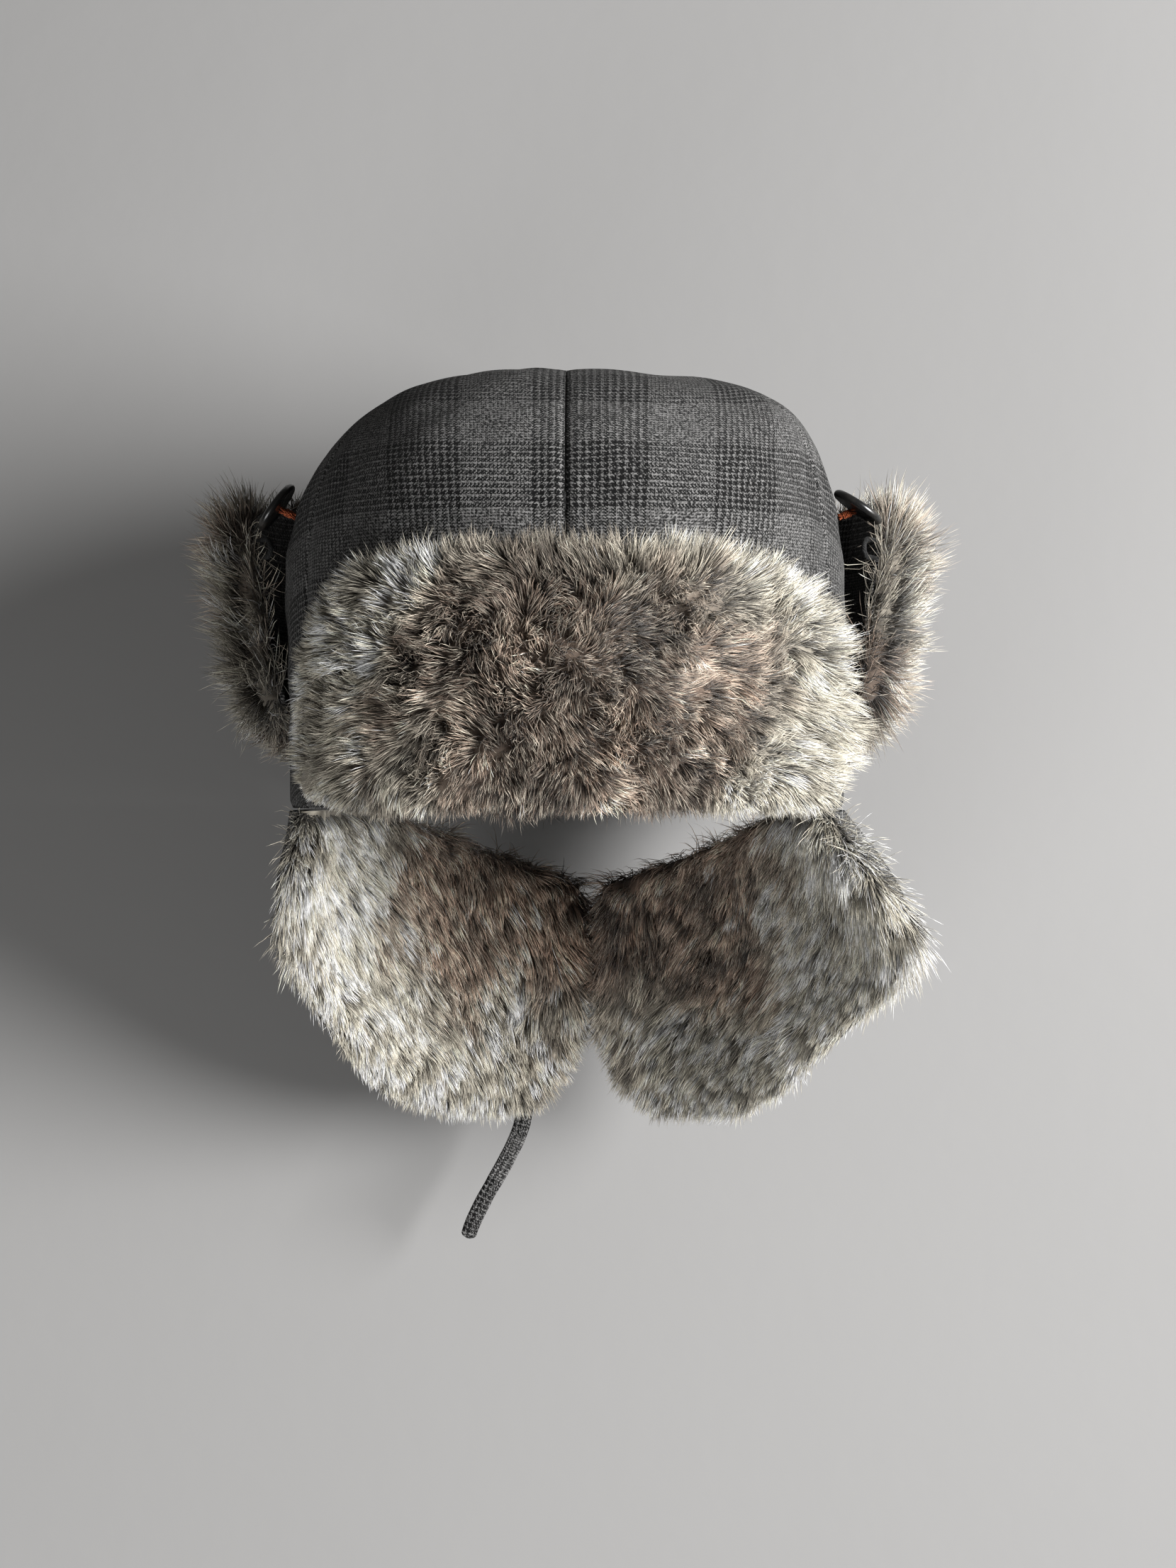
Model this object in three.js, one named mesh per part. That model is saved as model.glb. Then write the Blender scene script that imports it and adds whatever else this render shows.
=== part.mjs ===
// Trapper hat: six-panel wool crown, fur-lined front flap, back flap and two ear flaps,
// side buttons with elastic loops, and a chin strap. Millimetres, +Z up, as worn.
// The origin is the centre of the head opening, on the plane of the rim. The face looks along -Y.
//
// Azimuth is measured round the head in degrees: 0 is +X, 90 is the back, 180 is -X and -90 is the
// front. "Left" and "right" are the sides as seen from the front, so left is -X.

import * as THREE from 'three';

// ---- Driving dimensions ----

const CROWN_HALF_WIDTH = 94.5;
const CROWN_HALF_DEPTH = 108;
const CROWN_HEIGHT = 146;
const SHOULDER_START = 58; // height at which the crown starts to round over
const SHOULDER_POWER = 3.1; // higher is a squarer shoulder
const PLAN_POWER = 2.15; // 2 is an ellipse seen from above
const PANEL_COUNT = 6;

const CLOTH = 2; // wool cloth with its seam turnings
const WADDING = 1.6;
const WADDING_GAP = 0.8; // the wadding lies loose between the cloth and the fur's backing
const LINING = 4; // quilted satin
const SWEATBAND = 1.6;
const SWEATBAND_HEIGHT = 30;
const FUR_PILE = 9.5; // the dense part of the pile
const SEAM_GAP = 0.4; // between sewn neighbours
const RIM_CLEARANCE = 1; // between the rim and what hangs from it

const FLAP_CLEARANCE = 2; // between the crown and a turned-up flap
const FRONT_FLAP_HEIGHT = 76;
const FRONT_FLAP_HALF_ANGLE = 48;
const FRONT_FLAP_FOLD_ANGLE = 24; // where the flap's side wings bend, from its middle
const FRONT_FLAP_CORNER = 3.8; // higher is a squarer corner

const BACK_FLAP_HEIGHT = 106;
const BACK_FLAP_HALF_ANGLE = 94;
const BACK_FLAP_FOLD_ANGLE = 38;
const BACK_FLAP_CORNER = 7;
const BACK_FLAP_SEAM_ANGLE = 42; // sewn to the rim this far each side of the middle
const BACK_FLAP_END_RISE = 34; // how far the free end's lower corner is above the rim
const BACK_FLAP_LEAN = 0.17; // how fast the free ends lean out from the crown

const EAR_FLAP_LENGTH = 112;
const EAR_FLAP_FRONT = -30; // degrees ahead of the side seam's middle
const EAR_FLAP_SEAM_END = 36;
const EAR_FLAP_FOLD = 42; // where the rear part bends
const EAR_FLAP_TIP = 62; // where the flap is longest
const EAR_FLAP_REAR = 85;
const EAR_FLAP_REAR_DROP = 30; // how far the rear top corner is below the rim
const EAR_FLAP_TAPER = 0.1; // narrowing per millimetre below the rim
// The flaps lie a little differently: swept round towards the back, bulged and flared.
const EAR_FLAP_SWEEP = { left: 7, right: -2 };
const EAR_FLAP_BULGE = { left: -1, right: 9 };
const EAR_FLAP_FLARE = { left: 11, right: 25 }; // how far the front edge stands out
const EAR_FLAP_FLARE_FROM = 30; // the angle where the flare starts
const EAR_FLAP_FLARE_DEPTH = 100; // how far below the rim it is over

const BUTTON_RADIUS = 9.5;
const BUTTON_THICKNESS = 2.6;
const BUTTON_DISH = 0.8;
const BUTTON_AZIMUTH = 11; // degrees ahead of the side
const BUTTON_HEIGHT = 98;
const BUTTON_STANDOFF = 7;
const BUTTON_TILT = { left: 36, right: 56 }; // degrees that each face looks up
const SHANK_RADIUS = 1.5;

const LOOP_WIRE = 0.9; // radius of the elastic cord
const LOOP_WIDTH = 6;
const LOOP_LENGTH = 10;
const LOOP_TURN_IN = 35; // degrees that the loop turns from straight ahead towards the crown
const LOOP_HEIGHT = 88;

const STRAP_WIDTH = 6.5;
const STRAP_THICKNESS = 2;
const STRAP_TAB_SIZE = 14;
const STRAP_TAB_GAP = 1; // between the strap's upper end and the tab
const TAB_BEHIND_TIP = 10.5; // degrees

// ---- Helpers ----

const SIDES = ['left', 'right'];
const SIDE_SIGN = { left: -1, right: 1 };

const radians = THREE.MathUtils.degToRad;
const lerp = THREE.MathUtils.lerp;
const smooth = (value) => THREE.MathUtils.smoothstep(value, 0, 1);

/** Distance from the middle to a rounded-off ellipse, seen from above. */
function planRadius(azimuth, halfWidth, halfDepth) {
  const across = Math.abs(Math.cos(radians(azimuth)) / halfWidth) ** PLAN_POWER;
  const along = Math.abs(Math.sin(radians(azimuth)) / halfDepth) ** PLAN_POWER;
  return (across + along) ** (-1 / PLAN_POWER);
}

/** The point at an azimuth and a height, outside the crown's wall by offset. */
function wallPoint(azimuth, height, offset) {
  const radius = planRadius(azimuth, CROWN_HALF_WIDTH + offset, CROWN_HALF_DEPTH + offset);
  const angle = radians(azimuth);
  return new THREE.Vector3(radius * Math.cos(angle), radius * Math.sin(angle), height);
}

/** The crown's size at a height, as a share of its size at the rim. */
function shoulderScale(height, top) {
  const rise = Math.max(0, height - SHOULDER_START) / (top - SHOULDER_START);
  return (1 - rise ** SHOULDER_POWER) ** (1 / SHOULDER_POWER);
}

/** A closed solid made from a box: place(u, v, w) puts each point, with u, v and w from 0 to 1. */
function warpedBox(columns, rows, place) {
  const geometry = new THREE.BoxGeometry(1, 1, 1, columns, rows, 1);
  const position = geometry.attributes.position;
  for (let i = 0; i < position.count; i += 1) {
    const u = position.getX(i) + 0.5;
    const v = position.getY(i) + 0.5;
    const w = position.getZ(i) + 0.5;
    const point = place(u, v, w);
    position.setXYZ(i, point.x, point.y, point.z);
  }
  geometry.computeVertexNormals();
  return geometry;
}

const FINISHES = {
  wool: { color: 0x4a4b4d, roughness: 0.95, metalness: 0 },
  fur: { color: 0xa89a86, roughness: 1, metalness: 0 },
  wadding: { color: 0xe8e6df, roughness: 1, metalness: 0 },
  lining: { color: 0x17181a, roughness: 0.5, metalness: 0 },
  sweatband: { color: 0x222326, roughness: 0.85, metalness: 0 },
  button: { color: 0x0d0d0e, roughness: 0.3, metalness: 0 },
  thread: { color: 0x9a4128, roughness: 0.9, metalness: 0 },
  elastic: { color: 0x141415, roughness: 0.8, metalness: 0 },
};

const hat = new THREE.Group();

function addPiece(name, geometry, finish) {
  const mesh = new THREE.Mesh(geometry, new THREE.MeshStandardMaterial(FINISHES[finish]));
  mesh.name = name;
  hat.add(mesh);
  return mesh;
}

// ---- Crown ----

/** A wedge of the crown between two azimuths, between two offsets from the outer face. */
function crownWedge(start, end, inner, outer, seamGap, tipScale, columns, rows) {
  const straightShare = 0.3;
  const lastAngle = Math.acos(tipScale ** (SHOULDER_POWER / 2));
  return warpedBox(columns, rows, (u, v, w) => {
    const offset = lerp(inner, outer, w);
    const bend = Math.max(0, (v - straightShare) / (1 - straightShare)) * lastAngle;
    const power = 2 / SHOULDER_POWER;
    const scale = Math.cos(bend) ** power;
    const top = CROWN_HEIGHT + offset;
    const straight = Math.min(1, v / straightShare) * SHOULDER_START;
    const height = straight + (top - SHOULDER_START) * Math.sin(bend) ** power;
    const gapAngle = THREE.MathUtils.radToDeg(seamGap / 2 / (scale * CROWN_HALF_WIDTH));
    const point = wallPoint(lerp(start + gapAngle, end - gapAngle, u), height, offset);
    point.x *= scale;
    point.y *= scale;
    return point;
  });
}

function addCrown() {
  const step = 360 / PANEL_COUNT;
  // Panels and lining share their facets, so the gap between them stays even.
  const COLUMNS = 6;
  const ROWS = 10;
  const panelNames = [
    'crown_panel_front_right',
    'crown_panel_side_right',
    'crown_panel_back_right',
    'crown_panel_back_left',
    'crown_panel_side_left',
    'crown_panel_front_left',
  ];
  panelNames.forEach((name, index) => {
    const start = -90 + index * step;
    const geometry = crownWedge(start, start + step, -CLOTH, 0, SEAM_GAP, 0.03, COLUMNS, ROWS);
    addPiece(name, geometry, 'wool');
  });
  const liningOuter = -CLOTH - SEAM_GAP;
  ['crown_lining_right', 'crown_lining_back', 'crown_lining_left'].forEach((name, index) => {
    const start = -90 + index * 2 * step;
    const geometry = crownWedge(
      start, start + 2 * step, liningOuter - LINING, liningOuter, SEAM_GAP, 0.03, 2 * COLUMNS, ROWS);
    addPiece(name, geometry, 'lining');
  });
}

/** A band inside the rim, with its ends meeting at the back. */
function addSweatband() {
  const outer = -CLOTH - LINING - 2 * SEAM_GAP;
  const backSeam = 90;
  const halfGap = 0.3;
  const geometry = warpedBox(36, 1, (u, v, w) => {
    const azimuth = lerp(backSeam + halfGap - 360, backSeam - halfGap, u);
    return wallPoint(azimuth, lerp(RIM_CLEARANCE, SWEATBAND_HEIGHT, v), lerp(outer - SWEATBAND, outer, w));
  });
  addPiece('sweatband', geometry, 'sweatband');
}

// ---- Flaps ----

/** The cloth, wadding and fur layers of a flap, as offsets from the crown's outer face. */
function flapLayers(start, direction) {
  const layers = [
    ['shell', 'wool', CLOTH],
    ['wadding', 'wadding', WADDING],
    ['fur', 'fur', FUR_PILE],
  ];
  let near = start;
  return layers.map(([name, finish, thickness]) => {
    const far = near + direction * thickness;
    const layer = { name, finish, inner: Math.min(near, far), outer: Math.max(near, far) };
    near = far + direction * WADDING_GAP;
    return layer;
  });
}

/** Adds the three layers of one part of a flap. bottom, top and place take an azimuth. */
function addFlapPart(name, layers, start, end, spread, bottom, top, place, columns, rows) {
  const [first, last] = [Math.min(start, end), Math.max(start, end)];
  layers.forEach((layer) => {
    // The wadding stops half a facet short of the edges, where the cloth and the fur's backing are sewn.
    const inset = layer.name === 'wadding' ? 0.5 : 0;
    const within = (value, count) => THREE.MathUtils.clamp(value, inset / count, 1 - inset / count);
    const geometry = warpedBox(columns, rows, (u, v, w) => {
      const azimuth = lerp(first, last, spread(within(u, columns)));
      const height = lerp(bottom(azimuth), top(azimuth), within(v, rows));
      return place(azimuth, height, lerp(layer.inner, layer.outer, w));
    });
    addPiece(`${name}_${layer.name}`, geometry, layer.finish);
  });
}

/** Spacings that put more points near one end of a part, where its corner curves. */
const SPREAD = {
  even: (u) => u,
  towardsEnd: (u) => Math.sin((u * Math.PI) / 2) ** 0.9,
  towardsStart: (u) => 1 - Math.sin(((1 - u) * Math.PI) / 2) ** 0.9,
};

/** A flap's free edge: level in the middle, with rounded corners. */
function roundedTop(fromMiddle, halfAngle, low, high, corner) {
  const share = Math.min(1, Math.abs(fromMiddle) / (halfAngle + 0.3));
  return low + (high - low) * (1 - share ** corner) ** (1 / corner);
}

function addFrontFlap() {
  const middle = -90;
  const seamHeight = RIM_CLEARANCE + CLOTH;
  const bottom = () => seamHeight;
  const top = (azimuth) =>
    roundedTop(azimuth - middle, FRONT_FLAP_HALF_ANGLE, seamHeight, FRONT_FLAP_HEIGHT, FRONT_FLAP_CORNER);
  const layers = flapLayers(FLAP_CLEARANCE, 1);
  const foldGap = 0.3;
  const fold = FRONT_FLAP_FOLD_ANGLE;
  const end = FRONT_FLAP_HALF_ANGLE;
  addFlapPart('front_flap_middle', layers, middle - fold + foldGap, middle + fold - foldGap,
    SPREAD.even, bottom, top, wallPoint, 8, 4);
  addFlapPart('front_flap_right_wing', layers, middle + fold + foldGap, middle + end,
    SPREAD.towardsEnd, bottom, top, wallPoint, 6, 4);
  addFlapPart('front_flap_left_wing', layers, middle - end, middle - fold - foldGap,
    SPREAD.towardsStart, bottom, top, wallPoint, 6, 4);
}

function backFlapBottom(azimuth) {
  const beyondSeam = Math.max(0, Math.abs(azimuth - 90) - BACK_FLAP_SEAM_ANGLE);
  const share = beyondSeam / (BACK_FLAP_HALF_ANGLE - BACK_FLAP_SEAM_ANGLE);
  return RIM_CLEARANCE + CLOTH + BACK_FLAP_END_RISE * share;
}

/** The turned-up back flap's surface: its free ends lean out from the crown. */
function backFlapPoint(azimuth, height, offset) {
  const endShare = smooth((Math.abs(azimuth - 90) - BACK_FLAP_FOLD_ANGLE) / 40);
  const lean = (height - backFlapBottom(azimuth)) * BACK_FLAP_LEAN * endShare;
  return wallPoint(azimuth, height, offset + lean);
}

function addBackFlap() {
  const middle = 90;
  const top = (azimuth) => roundedTop(
    azimuth - middle, BACK_FLAP_HALF_ANGLE, backFlapBottom(azimuth), BACK_FLAP_HEIGHT, BACK_FLAP_CORNER);
  const layers = flapLayers(FLAP_CLEARANCE, 1);
  const foldGap = 0.3;
  const fold = BACK_FLAP_FOLD_ANGLE;
  const end = BACK_FLAP_HALF_ANGLE;
  addFlapPart('back_flap_middle', layers, middle - fold + foldGap, middle + fold - foldGap,
    SPREAD.even, backFlapBottom, top, backFlapPoint, 8, 4);
  addFlapPart('back_flap_right_wing', layers, middle - end, middle - fold - foldGap,
    SPREAD.towardsStart, backFlapBottom, top, backFlapPoint, 9, 4);
  addFlapPart('back_flap_left_wing', layers, middle + fold + foldGap, middle + end,
    SPREAD.towardsEnd, backFlapBottom, top, backFlapPoint, 9, 4);
}

/** An ear flap's own angle at an azimuth: 0 at the side of the head, growing towards the back. */
function earAngle(side, azimuth) {
  const fromSide = side === 'right' ? azimuth : 180 - azimuth;
  return fromSide - EAR_FLAP_SWEEP[side];
}

function earAzimuth(side, angle) {
  const fromSide = angle + EAR_FLAP_SWEEP[side];
  return side === 'right' ? fromSide : 180 - fromSide;
}

function earFlapTop(angle) {
  const share = Math.max(0, angle - EAR_FLAP_SEAM_END) / (EAR_FLAP_REAR - EAR_FLAP_SEAM_END);
  return -RIM_CLEARANCE - EAR_FLAP_REAR_DROP * share;
}

function earFlapBottom(angle) {
  const ahead = EAR_FLAP_TIP - angle;
  const frontReach = 104;
  const rearReach = 32;
  const share = ahead > 0 ? (ahead / frontReach) ** 1.75 : (-ahead / rearReach) ** 4;
  return -EAR_FLAP_LENGTH * (1 - share);
}

/** A point of an ear flap, which narrows downwards, bulges at mid length and flares at the front. */
function earFlapPoint(side, azimuth, height, offset) {
  const depth = -height;
  const bulge = EAR_FLAP_BULGE[side] * Math.sin(Math.PI * Math.min(1, depth / EAR_FLAP_LENGTH));
  const ahead = (EAR_FLAP_FLARE_FROM - earAngle(side, azimuth)) / (EAR_FLAP_FLARE_FROM - EAR_FLAP_FRONT);
  const opened = Math.sin((Math.PI * depth) / EAR_FLAP_FLARE_DEPTH);
  const flare = EAR_FLAP_FLARE[side] * smooth(ahead) * opened;
  const point = wallPoint(azimuth, height, offset + flare - EAR_FLAP_TAPER * depth);
  point.x += SIDE_SIGN[side] * bulge * Math.cos(radians(earAngle(side, azimuth)));
  return point;
}

function addEarFlap(side) {
  const layers = flapLayers(0, -1);
  const foldGap = 0.3;
  const place = (azimuth, height, offset) => earFlapPoint(side, azimuth, height, offset);
  const top = (azimuth) => earFlapTop(earAngle(side, azimuth));
  const bottom = (azimuth) => earFlapBottom(earAngle(side, azimuth));
  addFlapPart(`${side}_ear_flap_side`, layers,
    earAzimuth(side, EAR_FLAP_FRONT), earAzimuth(side, EAR_FLAP_FOLD - foldGap),
    SPREAD.even, bottom, top, place, 12, 10);
  addFlapPart(`${side}_ear_flap_rear`, layers,
    earAzimuth(side, EAR_FLAP_FOLD + foldGap), earAzimuth(side, EAR_FLAP_REAR),
    SPREAD.even, bottom, top, place, 6, 5);
}

// ---- Buttons and loops ----

/** Where a button's thread leaves the crown. */
function shankBase(side) {
  const azimuth = side === 'right' ? -BUTTON_AZIMUTH : 180 + BUTTON_AZIMUTH;
  const point = wallPoint(azimuth, BUTTON_HEIGHT, SEAM_GAP);
  const scale = shoulderScale(BUTTON_HEIGHT, CROWN_HEIGHT);
  return point.multiply(new THREE.Vector3(scale, scale, 1));
}

function buttonAxis(side) {
  const tilt = radians(BUTTON_TILT[side]);
  return new THREE.Vector3(SIDE_SIGN[side] * Math.cos(tilt), 0, Math.sin(tilt));
}

function buttonCentre(side) {
  return shankBase(side).add(new THREE.Vector3(SIDE_SIGN[side] * BUTTON_STANDOFF, 0, BUTTON_STANDOFF / 2));
}

/** A disc with a raised rim and a dished face. */
function buttonGeometry() {
  const half = BUTTON_THICKNESS / 2;
  const rim = BUTTON_RADIUS - 2.2;
  const profile = [
    [0, -half],
    [BUTTON_RADIUS - 1.2, -half],
    [BUTTON_RADIUS, -half / 3],
    [BUTTON_RADIUS, half / 3],
    [BUTTON_RADIUS - 0.8, half],
    [rim + 0.4, half],
    [rim, half - BUTTON_DISH],
    [0, half - BUTTON_DISH],
  ];
  return new THREE.LatheGeometry(profile.map(([x, y]) => new THREE.Vector2(x, y)), 20);
}

function addButton(side) {
  const up = new THREE.Vector3(0, 1, 0);
  const button = addPiece(`${side}_button`, buttonGeometry(), 'button');
  button.position.copy(buttonCentre(side));
  button.quaternion.setFromUnitVectors(up, buttonAxis(side));

  const base = shankBase(side);
  const underside = buttonCentre(side).addScaledVector(buttonAxis(side), -BUTTON_THICKNESS / 2 - SEAM_GAP);
  const reach = underside.clone().sub(base);
  const direction = reach.clone().normalize();
  // The shank stops short where its square end would meet the slanted cloth or button.
  const start = base.clone().addScaledVector(direction, SHANK_RADIUS / 4);
  const end = underside.clone().addScaledVector(direction, -SHANK_RADIUS * 0.7);
  const shank = addPiece(`${side}_button_thread`,
    new THREE.CylinderGeometry(SHANK_RADIUS * 0.8, SHANK_RADIUS, start.distanceTo(end), 8), 'thread');
  shank.position.lerpVectors(start, end, 0.5);
  shank.quaternion.setFromUnitVectors(up, direction);
}

/** An elastic loop sewn to the end of the back flap, reaching in towards the button's thread. */
function addLoop(side) {
  const sign = SIDE_SIGN[side];
  const straight = LOOP_LENGTH - LOOP_WIDTH / 2;
  const turnPoints = 7;
  const outline = [[0, LOOP_WIDTH / 2]];
  for (let i = 0; i < turnPoints; i += 1) {
    const angle = (i / (turnPoints - 1)) * Math.PI;
    outline.push([straight + (Math.sin(angle) * LOOP_WIDTH) / 2, (Math.cos(angle) * LOOP_WIDTH) / 2]);
  }
  outline.push([0, -LOOP_WIDTH / 2]);
  const points = outline.map(([along, up]) => new THREE.Vector3(along, 0, up));
  const section = new THREE.Shape();
  section.absarc(0, 0, LOOP_WIRE, 0, 2 * Math.PI);
  const geometry = new THREE.ExtrudeGeometry(section, {
    extrudePath: new THREE.CatmullRomCurve3(points, false, 'centripetal'),
    steps: 14,
    curveSegments: 4,
    bevelEnabled: false,
  });
  const loop = addPiece(`${side}_elastic_loop`, geometry, 'elastic');
  const flapEnd = 90 - sign * BACK_FLAP_HALF_ANGLE;
  loop.position.copy(backFlapPoint(flapEnd, LOOP_HEIGHT, FLAP_CLEARANCE + CLOTH / 2));
  loop.position.y -= SEAM_GAP + LOOP_WIRE;
  loop.rotation.z = radians(-90 - sign * LOOP_TURN_IN);
}

// ---- Chin strap ----

// The strap hangs from the tab on the outside of the left ear flap's tip.
const STRAP_ROUTE = [
  [-18.4, 97.8, -103],
  [-17.5, 97.7, -108],
  [-17, 97.2, -113],
  [-17.6, 96.4, -119],
  [-19.4, 95.8, -125],
  [-22.2, 95.3, -131],
  [-25.4, 95, -137],
  [-28.8, 94.7, -143],
  [-32.2, 94.5, -149],
  [-35.2, 94.4, -155],
  [-37.4, 94.3, -160],
  [-38.4, 94.2, -164],
];
const STRAP_STEPS = 14;

/** A flat strap's section: two straight faces and round edges, in eight points. */
function strapSection() {
  const half = STRAP_THICKNESS / 2;
  const flat = STRAP_WIDTH / 2 - half;
  const shape = new THREE.Shape();
  shape.moveTo(-half, -flat);
  shape.lineTo(-half * 0.7, -flat - half * 0.7);
  shape.lineTo(half * 0.7, -flat - half * 0.7);
  shape.lineTo(half, -flat);
  shape.lineTo(half, flat);
  shape.lineTo(half * 0.7, flat + half * 0.7);
  shape.lineTo(-half * 0.7, flat + half * 0.7);
  shape.lineTo(-half, flat);
  shape.closePath();
  return shape;
}

function addChinStrap() {
  const route = new THREE.CatmullRomCurve3(STRAP_ROUTE.map((point) => new THREE.Vector3(...point)));
  const geometry = new THREE.ExtrudeGeometry(strapSection(), {
    extrudePath: route, steps: STRAP_STEPS, bevelEnabled: false,
  });
  addPiece('chin_strap', geometry, 'wool');

  // The stitched tab lies on the outside of the ear flap, just above the strap.
  const tabAzimuth = earAzimuth('left', EAR_FLAP_TIP + TAB_BEHIND_TIP);
  const tabTop = STRAP_ROUTE[0][2] + STRAP_TAB_GAP + STRAP_TAB_SIZE;
  const halfAngle = 2.1;
  const tab = warpedBox(3, 3, (u, v, w) => {
    const azimuth = tabAzimuth + lerp(-halfAngle, halfAngle, u);
    const height = lerp(tabTop - STRAP_TAB_SIZE, tabTop, v);
    return earFlapPoint('left', azimuth, height, lerp(SEAM_GAP, SEAM_GAP + STRAP_THICKNESS, w));
  });
  addPiece('chin_strap_tab', tab, 'wool');
}

addCrown();
addSweatband();
addFrontFlap();
addBackFlap();
SIDES.forEach(addEarFlap);
SIDES.forEach(addButton);
SIDES.forEach(addLoop);
addChinStrap();

export default hat;
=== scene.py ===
# Looks of the trapper hat: wool crown and cloth, faux fur flaps, quilted lining, buttons and strap.
# Lengths are millimetres until make_mesh turns them into metres. The frame is the hat as worn: +Z up,
# the face looks along -Y. "Left" and "right" are the sides as seen from the front, so left is -X.
# Azimuth is in degrees round the head: 0 is +X, 90 is the back, 180 is -X and -90 is the front.

import math

import bpy
import numpy as np
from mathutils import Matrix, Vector
from mathutils.kdtree import KDTree


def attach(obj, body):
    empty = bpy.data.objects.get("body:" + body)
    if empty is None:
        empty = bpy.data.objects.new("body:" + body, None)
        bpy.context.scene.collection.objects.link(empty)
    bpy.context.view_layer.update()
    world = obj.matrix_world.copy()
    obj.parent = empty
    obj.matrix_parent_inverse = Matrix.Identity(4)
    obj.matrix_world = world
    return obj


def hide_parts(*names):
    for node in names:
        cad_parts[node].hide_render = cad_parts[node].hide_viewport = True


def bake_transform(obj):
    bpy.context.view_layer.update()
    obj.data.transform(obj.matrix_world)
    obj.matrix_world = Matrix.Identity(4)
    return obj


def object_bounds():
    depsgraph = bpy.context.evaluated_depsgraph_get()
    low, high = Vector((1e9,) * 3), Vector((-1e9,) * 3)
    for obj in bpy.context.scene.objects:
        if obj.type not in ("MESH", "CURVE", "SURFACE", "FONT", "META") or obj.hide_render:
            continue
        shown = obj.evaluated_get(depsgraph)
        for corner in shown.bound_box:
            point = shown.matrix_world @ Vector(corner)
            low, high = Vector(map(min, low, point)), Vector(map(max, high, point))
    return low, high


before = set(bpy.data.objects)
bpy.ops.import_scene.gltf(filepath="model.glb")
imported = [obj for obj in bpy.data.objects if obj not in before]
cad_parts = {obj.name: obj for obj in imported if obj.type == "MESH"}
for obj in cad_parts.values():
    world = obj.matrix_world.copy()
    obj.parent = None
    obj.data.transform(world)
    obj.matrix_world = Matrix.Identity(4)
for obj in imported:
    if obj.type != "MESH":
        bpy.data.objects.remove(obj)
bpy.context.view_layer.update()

MM = 0.001

# ---- Dimensions, the same as the part's ----

CROWN_HALF_WIDTH = 94.5
CROWN_HALF_DEPTH = 108
CROWN_HEIGHT = 146
SHOULDER_START = 58
SHOULDER_POWER = 3.1
PLAN_POWER = 2.15
STRAIGHT_SHARE = 0.3

CLOTH = 2
LINING = 4
SWEATBAND = 1.6
SWEATBAND_HEIGHT = 30
SEAM_GAP = 0.4
FUR_START = 5.2  # from a flap's cloth face to the fur's backing
FUR_PILE = 9.5

FRONT_FLAP_HEIGHT = 76
FRONT_FLAP_HALF_ANGLE = 48
FRONT_FLAP_FOLD_ANGLE = 24

BACK_FLAP_HEIGHT = 106
BACK_FLAP_HALF_ANGLE = 94
BACK_FLAP_FOLD_ANGLE = 38
BACK_FLAP_SEAM_ANGLE = 42
BACK_FLAP_END_RISE = 34
BACK_FLAP_LEAN = 0.17

EAR_FLAP_LENGTH = 112
EAR_FLAP_FRONT = -30
EAR_FLAP_SEAM_END = 36
EAR_FLAP_FOLD = 42
EAR_FLAP_TIP = 62
EAR_FLAP_REAR = 85
EAR_FLAP_REAR_DROP = 30
EAR_FLAP_TAPER = 0.1
EAR_FLAP_SWEEP = {"left": 7, "right": -2}
EAR_FLAP_BULGE = {"left": -1, "right": 9}
EAR_FLAP_FLARE = {"left": 11, "right": 25}
EAR_FLAP_FLARE_FROM = 30
EAR_FLAP_FLARE_DEPTH = 100

FLAP_FOOT = 3  # height of the turned-up flaps' lower edge
FLAP_CLEARANCE = 2

BUTTON_RADIUS = 9.5
BUTTON_THICKNESS = 2.6
BUTTON_ROUND = 1.2
BUTTON_DISH = 0.8
HOLE_SPACING = 1.5  # from the middle, both ways
BUTTON_AZIMUTH = 11
BUTTON_HEIGHT = 98
BUTTON_STANDOFF = 7
BUTTON_TILT = {"left": 36, "right": 56}

LOOP_WIRE = 0.9
LOOP_WIDTH = 6
LOOP_LENGTH = 10
LOOP_TURN_IN = 35
LOOP_HEIGHT = 88

STRAP_WIDTH = 6.5
STRAP_THICKNESS = 2
WING_BLEND = 9  # degrees from a fold line to the point beyond it in a part's entry
STRAP_TAB_WIDTH = 7.4
STRAP_TAB_HALF_ANGLE = 2.1
STRAP_TAB_SIZE = 14
STRAP_TAB_GAP = 1  # between the strap's upper end and the tab
TAB_BEHIND_TIP = 10.5
STRAP_ROUTE = [
    (-18.4, 97.8, -103), (-17.5, 97.7, -108), (-17, 97.2, -113), (-17.6, 96.4, -119),
    (-19.4, 95.8, -125), (-22.2, 95.3, -131), (-25.4, 95, -137), (-28.8, 94.7, -143),
    (-32.2, 94.5, -149), (-35.2, 94.4, -155), (-37.4, 94.3, -160), (-38.4, 94.2, -164),
]

SIDES = ("left", "right")
SIDE_SIGN = {"left": -1, "right": 1}

# ---- Colours, linear ----

CREAM = np.array([0.80, 0.74, 0.61])
TAUPE = np.array([0.36, 0.275, 0.215])
BROWN = np.array([0.165, 0.118, 0.088])
# Near black: the strands' dark roots, and painted shade deep in the pile; the underfur is made of it too
ROOT_AND_PILE_SHADE = np.array([0.024, 0.017, 0.013])

# ---- Small helpers ----


def smooth(value, low=0.0, high=1.0):
    share = np.clip((value - low) / (high - low), 0, 1)
    return share * share * (3 - 2 * share)


def unit(vectors):
    return vectors / np.maximum(np.linalg.norm(vectors, axis=-1, keepdims=True), 1e-9)


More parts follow.
